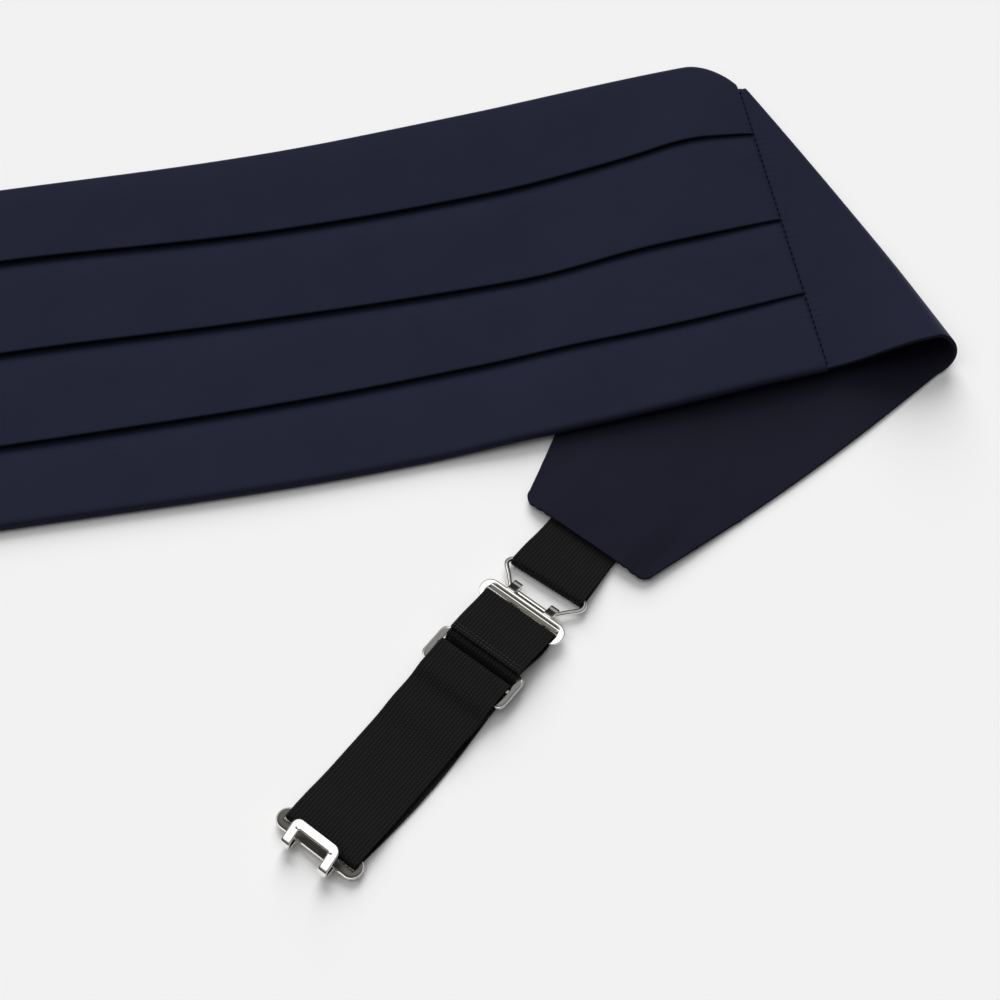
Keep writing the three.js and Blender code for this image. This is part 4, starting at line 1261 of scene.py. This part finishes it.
def ring_outlines(depth, corner, slot_low, slot_high):
    """Outer and inner points round a slotted plate; x runs back from 0, y across."""
    arc = np.linspace(0, math.pi / 2, CORNER_STEPS + 1)
    half = PLATE_HALF
    run = np.linspace(0, half - corner, STRAIGHT_STEPS + 1)
    outer = [(0.0, y) for y in run]
    outer += [(-corner + corner * math.cos(a), half - corner + corner * math.sin(a))
              for a in arc[1:]]
    outer += [(-depth + corner - corner * math.sin(a), half - corner + corner * math.cos(a))
              for a in arc]
    outer += [(-depth, y) for y in run[::-1][1:]]
    ends = len(outer) - 2 * len(run)
    inner = [(slot_high, y * SLOT_HALF / run[-1]) for y in run]
    inner += [(lerp(slot_high, slot_low, (i + 1) / (ends + 1)), SLOT_HALF) for i in range(ends)]
    inner += [(slot_low, y * SLOT_HALF / run[-1]) for y in run[::-1]]
    outer, inner = np.array(outer), np.array(inner)
    mirror = np.array([1, -1])
    return (np.concatenate([outer, outer[-2:0:-1] * mirror]),
            np.concatenate([inner, inner[-2:0:-1] * mirror]))


def ring_shell(outer, inner, thickness, dished, barred):
    """A plate round its slot; barred is a weight for every station."""
    share = STAMPED["share"]
    level = lerp(STAMPED["plain"], STAMPED["dished"], dished)
    # The dish and the bars are marked rougher and painted darker, as painted shade and dark
    # reflection.
    dull = dished * STAMPED["shade_and_dull_dished"]
    level = lerp(level, STAMPED["barred"], barred[:, None])
    dull = lerp(dull, STAMPED["shade_and_dull_barred"], barred[:, None])
    plan = lerp(outer[:, None], inner[:, None], share[:, None])
    under = lerp(outer[:, None], inner[:, None], UNDERSIDE_SHARES[:, None])
    under_level = -thickness + UNDERSIDE_LEVELS + 0 * barred[:, None]
    plan = np.concatenate([plan, under], axis=1)
    level = np.concatenate([level, under_level], axis=1) + thickness / 2
    dull = np.concatenate([dull, under_level * 0], axis=1)
    points = np.concatenate([plan, level[..., None]], axis=2)
    stations, count = level.shape
    number = np.arange(stations * count).reshape(stations, count)
    ahead = np.roll(number, -1, axis=0)
    faces = np.stack([number, np.roll(number, -1, axis=1), np.roll(ahead, -1, axis=1), ahead],
                     axis=-1).reshape(-1, 4)
    flat = points.reshape(-1, 3)
    return {"points": flat, "faces": faces, "map": flat[:, :2], "dull": dull.ravel()}


# %% The tongue, a bent strip
HOOK_CORNER = 3.4
TONGUE_HALF = 8.2
TONGUE_LEG = 2.7
TONGUE_BAR = 2.3
TONGUE_CORNER = 2.4
TONGUE_INNER_CORNER = 0.6
TONGUE_BACK = -4.1
TONGUE_ROUND = -0.12
BAR_FADE = (12.6, 11.0)
HOOK_DEPTH = HOOK_FRONT_BAR + HOOK_SLOT + HOOK_REAR_BAR


def tongue_shell(root, bend, turn_from, turn_reach, turn_height, slope):
    """From the plate round a half turn, back over it and across.

    root is where the leg leaves the plate, bend how far it falls before its turn, and slope
    how the mouth opens after it."""
    inner_half = TONGUE_HALF - TONGUE_LEG
    rows = [(root, TONGUE_HALF, root, inner_half, 0.0)]
    for x in np.linspace(0, turn_from, 7):
        rows.append((x, TONGUE_HALF, x, inner_half, bend * x / turn_from))
    for angle in np.linspace(0, math.pi, 19)[1:]:
        x = turn_from + turn_reach * math.sin(angle)
        z = lerp(bend, turn_height, (1 - math.cos(angle)) / 2)
        rows.append((x, TONGUE_HALF, x, inner_half, z))
    corner = TONGUE_BACK + TONGUE_CORNER
    for x in np.linspace(turn_from, corner, 9)[1:]:
        rows.append((x, TONGUE_HALF, x, inner_half, turn_height))
    inner_corner = TONGUE_BACK + TONGUE_BAR + TONGUE_INNER_CORNER
    for angle in np.linspace(0, math.pi / 2, 9)[1:]:
        rows.append((
            corner - TONGUE_CORNER * math.sin(angle),
            TONGUE_HALF - TONGUE_CORNER * (1 - math.cos(angle)),
            inner_corner - TONGUE_INNER_CORNER * math.sin(angle),
            inner_half - TONGUE_INNER_CORNER * (1 - math.cos(angle)), turn_height))
    for share in np.linspace(1, 0, 9)[1:]:
        rows.append((TONGUE_BACK, (TONGUE_HALF - TONGUE_CORNER) * share, TONGUE_BACK + TONGUE_BAR,
                     (inner_half - TONGUE_INNER_CORNER) * share, turn_height))
    half = np.array(rows)
    strip = np.concatenate([half, half[-2::-1] * np.array([1, -1, 1, -1, 1])])
    across = np.linspace(0, 1, 7)
    x = lerp(strip[:, :1], strip[:, 2:3], across)
    y = lerp(strip[:, 1:2], strip[:, 3:4], across)
    on_top = smooth(0.5, 1.0, (strip[:, 4:5] - bend) / (turn_height - bend))
    z = strip[:, 4:5] + slope * on_top * (turn_from + turn_reach - x)
    grid = np.stack([x, y, z + 0 * x], axis=-1)
    return wall_shell(grid, grid[..., :2], SHEET, TONGUE_ROUND)


# %% Both hooks
def metal_piece(name, shells, front, direction, height, tilt=0.0):
    """Stamped metal drawn back from x = 0, laid from front against direction."""
    for shell in shells:
        x, y, z = shell["points"].T
        shell["points"] = RIGHT.place(front + direction * x, y * direction + STRAP_SIDE,
                                      height + z + tilt * (x + HOOK_DEPTH / 2))
    dull = [shell.get("dull", np.zeros(len(shell["points"]))) for shell in shells]
    return shell_piece(name, shells, nickel, {"dull": np.concatenate(dull)})


def hook_piece(name, front, direction, height, tilt, dished, tongue):
    """A hook whose plate starts at front and runs back against direction."""
    outer, inner = ring_outlines(
        HOOK_DEPTH, HOOK_CORNER, -HOOK_FRONT_BAR - HOOK_SLOT, -HOOK_FRONT_BAR)
    straight = smooth(*BAR_FADE, np.abs(outer[:, 1])) * (outer[:, 0] > -0.5)
    plate = ring_shell(outer, inner, SHEET, dished, straight * (1 - dished))
    return metal_piece(name, [plate, tongue], front, direction, height, tilt)


hook_plate_upper = hook_piece(
    "hook_plate_upper", upper_hook_front, -1, upper_plate, tilt=0.1, dished=0.0,
    tongue=tongue_shell(root=-0.3, bend=-1.35, turn_from=2.7, turn_reach=1.2,
                        turn_height=-2.9, slope=0.0))
hook_plate_lower = hook_piece(
    "hook_plate_lower", lower_hook_front, 1, lower_plate, tilt=0.0, dished=1.0,
    tongue=tongue_shell(root=-0.3, bend=0.0, turn_from=2.6, turn_reach=0.8,
                        turn_height=3.0, slope=0.5))

# %% [markdown]
# ## The slide
#
# The slide is a plain stamped frame with a middle bar for the strap. It is the same ring of
# sections, dished like the hooks, with a second strip for the bar.

# %% Slide
SLIDE_CORNER = 2.2
SLIDE_DISH = 0.6
SLIDE_BAR_ROOT = 0.4


def build_slide():
    outer, inner = ring_outlines(SLIDE_LENGTH, SLIDE_CORNER, SLIDE_BAR - SLIDE_LENGTH, -SLIDE_BAR)
    frame_ring = ring_shell(outer, inner, SLIDE_THICK, SLIDE_DISH, 0 * outer[:, 0])
    half = SLOT_HALF + SLIDE_BAR_ROOT
    y, x = np.meshgrid(np.linspace(-half, half, 25), np.linspace(-0.5, 0.5, 5) * SLIDE_BAR * 0.7)
    bar = np.stack([x - SLIDE_LENGTH / 2, y, 0 * x], axis=-1)
    bar_shell = wall_shell(bar, bar[..., :2], SLIDE_THICK, RIBBON_ROUND)
    return metal_piece("slide_frame", [frame_ring, bar_shell], slide_start, -1, slide_height)


slide_frame = build_slide()

# %% [markdown]
# ## Stitches
#
# Two kinds of stitching show. Navy thread closes each seam between the front and a side panel,
# almost sunk in the cloth. Two rows of grey thread hold the strap's flap just before the slide.
# A tree walks along a path and lays a small rounded stitch at every pitch.

# %% The stitch tree
def stitch_tree():
    group, tree, given, result = geometry_tree("stitch_row", {
        "Pitch": "NodeSocketFloat", "Length": "NodeSocketFloat",
        "Thickness": "NodeSocketFloat", "Material": "NodeSocketMaterial"})
    line = tree.node("GeometryNodeMeshToCurve", None, {"Mesh": given.outputs["Geometry"]})
    row = tree.node("GeometryNodeResampleCurve", {"mode": "LENGTH"}, {
        "Curve": line.outputs[0], "Length": given.outputs["Pitch"]})
    ball = tree.node("GeometryNodeMeshUVSphere", None, {
        "Segments": 8, "Rings": 6, "Radius": 0.5})
    scale = tree.node("ShaderNodeCombineXYZ", None, {
        "X": given.outputs["Length"], "Y": given.outputs["Thickness"],
        "Z": given.outputs["Thickness"]})
    stitch = tree.node("GeometryNodeTransform", None, {
        "Geometry": ball.outputs["Mesh"], "Scale": scale.outputs[0]})
    tangent = tree.node("GeometryNodeInputTangent")
    turned = tree.node("FunctionNodeAlignRotationToVector", {"axis": "X"}, {
        "Vector": tangent.outputs[0]})
    laid = tree.node("GeometryNodeInstanceOnPoints", None, {
        "Points": row.outputs[0], "Instance": stitch.outputs[0], "Rotation": turned.outputs[0]})
    finish_tree(tree, laid.outputs[0], given, result)
    return group


stitch_row = stitch_tree()


def stitches(name, points, pitch, length, thickness, material):
    return grown(path_piece(name, points), stitch_row, **{
        "Pitch": pitch / 1000, "Length": length / 1000, "Thickness": thickness / 1000,
        "Material": material})


# %% Seam stitches and flap stitches
SEAM_CLEAR_BELOW, SEAM_CLEAR_ABOVE = 3, 4
FLAP_MARGIN = 0.6


def seam_stitches(name, sign):
    top, _, bottom, _ = front_lines(float(sign))
    y = np.linspace(bottom + SEAM_CLEAR_BELOW, top - SEAM_CLEAR_ABOVE, 60)
    lean = SEAM_LEAN * (y - SEAM_MIDDLE) if sign > 0 else 0 * y
    x = sign * (FRONT_HALF + GAP + 0.1) - lean
    z = front_lift(seam_x(y), y) if sign > 0 else 0 * y
    z = z + (FRONT_BASE + PLEAT_PLY + PANEL_CLOTH) / 2 - SEAM_DIP
    return stitches(name, np.stack([x, y, z], axis=-1), STITCH_PITCH, 1.8, 0.55, navy_thread)


def flap_stitches(name, before_end):
    side = np.linspace(-0.5, 0.5, 30) * (ELASTIC_WIDTH - 2 * FLAP_MARGIN) + STRAP_SIDE
    height = over_slide + ply + ELASTIC * 0.5 + 0.04
    points = RIGHT.place(np.full_like(side, flap_end - before_end), side, height)
    return stitches(name, points, 1.25, 1.0, 0.24, grey_thread)


seam_stitches_right = seam_stitches("seam_stitches_right", 1)
seam_stitches_left = seam_stitches("seam_stitches_left", -1)
flap_stitches_first = flap_stitches("flap_stitches_first", 1.9)
flap_stitches_second = flap_stitches("flap_stitches_second", 0.9)

# %% [markdown]
# ## What each piece stands for
#
# Every piece rides on the object's one body. A new piece replaces the CAD solid that it was drawn
# for, which is hidden. The table also names a finish slot for each piece, which the loop leaves
# unused.

# %% Ride and replace
STANDS_FOR = {
    "satin_front": ("pleated_front", "satin"),
    "satin_panel_right": ("side_panel_right", "satin"),
    "satin_panel_left": ("side_panel_left", "satin"),
    "elastic_right": ("elastic_tab_right", "black_elastic"),
    "elastic_left": ("elastic_tab_left", "black_elastic"),
    "strap": ("adjustable_strap", "black_elastic"),
    "wire_eye_right": ("eye_right", "nickel"),
    "wire_eye_left": ("eye_left", "nickel"),
    "hook_plate_upper": ("hook_upper", "nickel"),
    "hook_plate_lower": ("hook_lower", "nickel"),
    "slide_frame": ("strap_slide", "nickel"),
}
for name, (node, slot) in STANDS_FOR.items():
    piece = bpy.data.objects[name]
    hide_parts(node)
    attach(piece, "root")
for piece in (seam_stitches_right, seam_stitches_left):
    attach(piece, "root")
for piece in (flap_stitches_first, flap_stitches_second):
    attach(piece, "root")
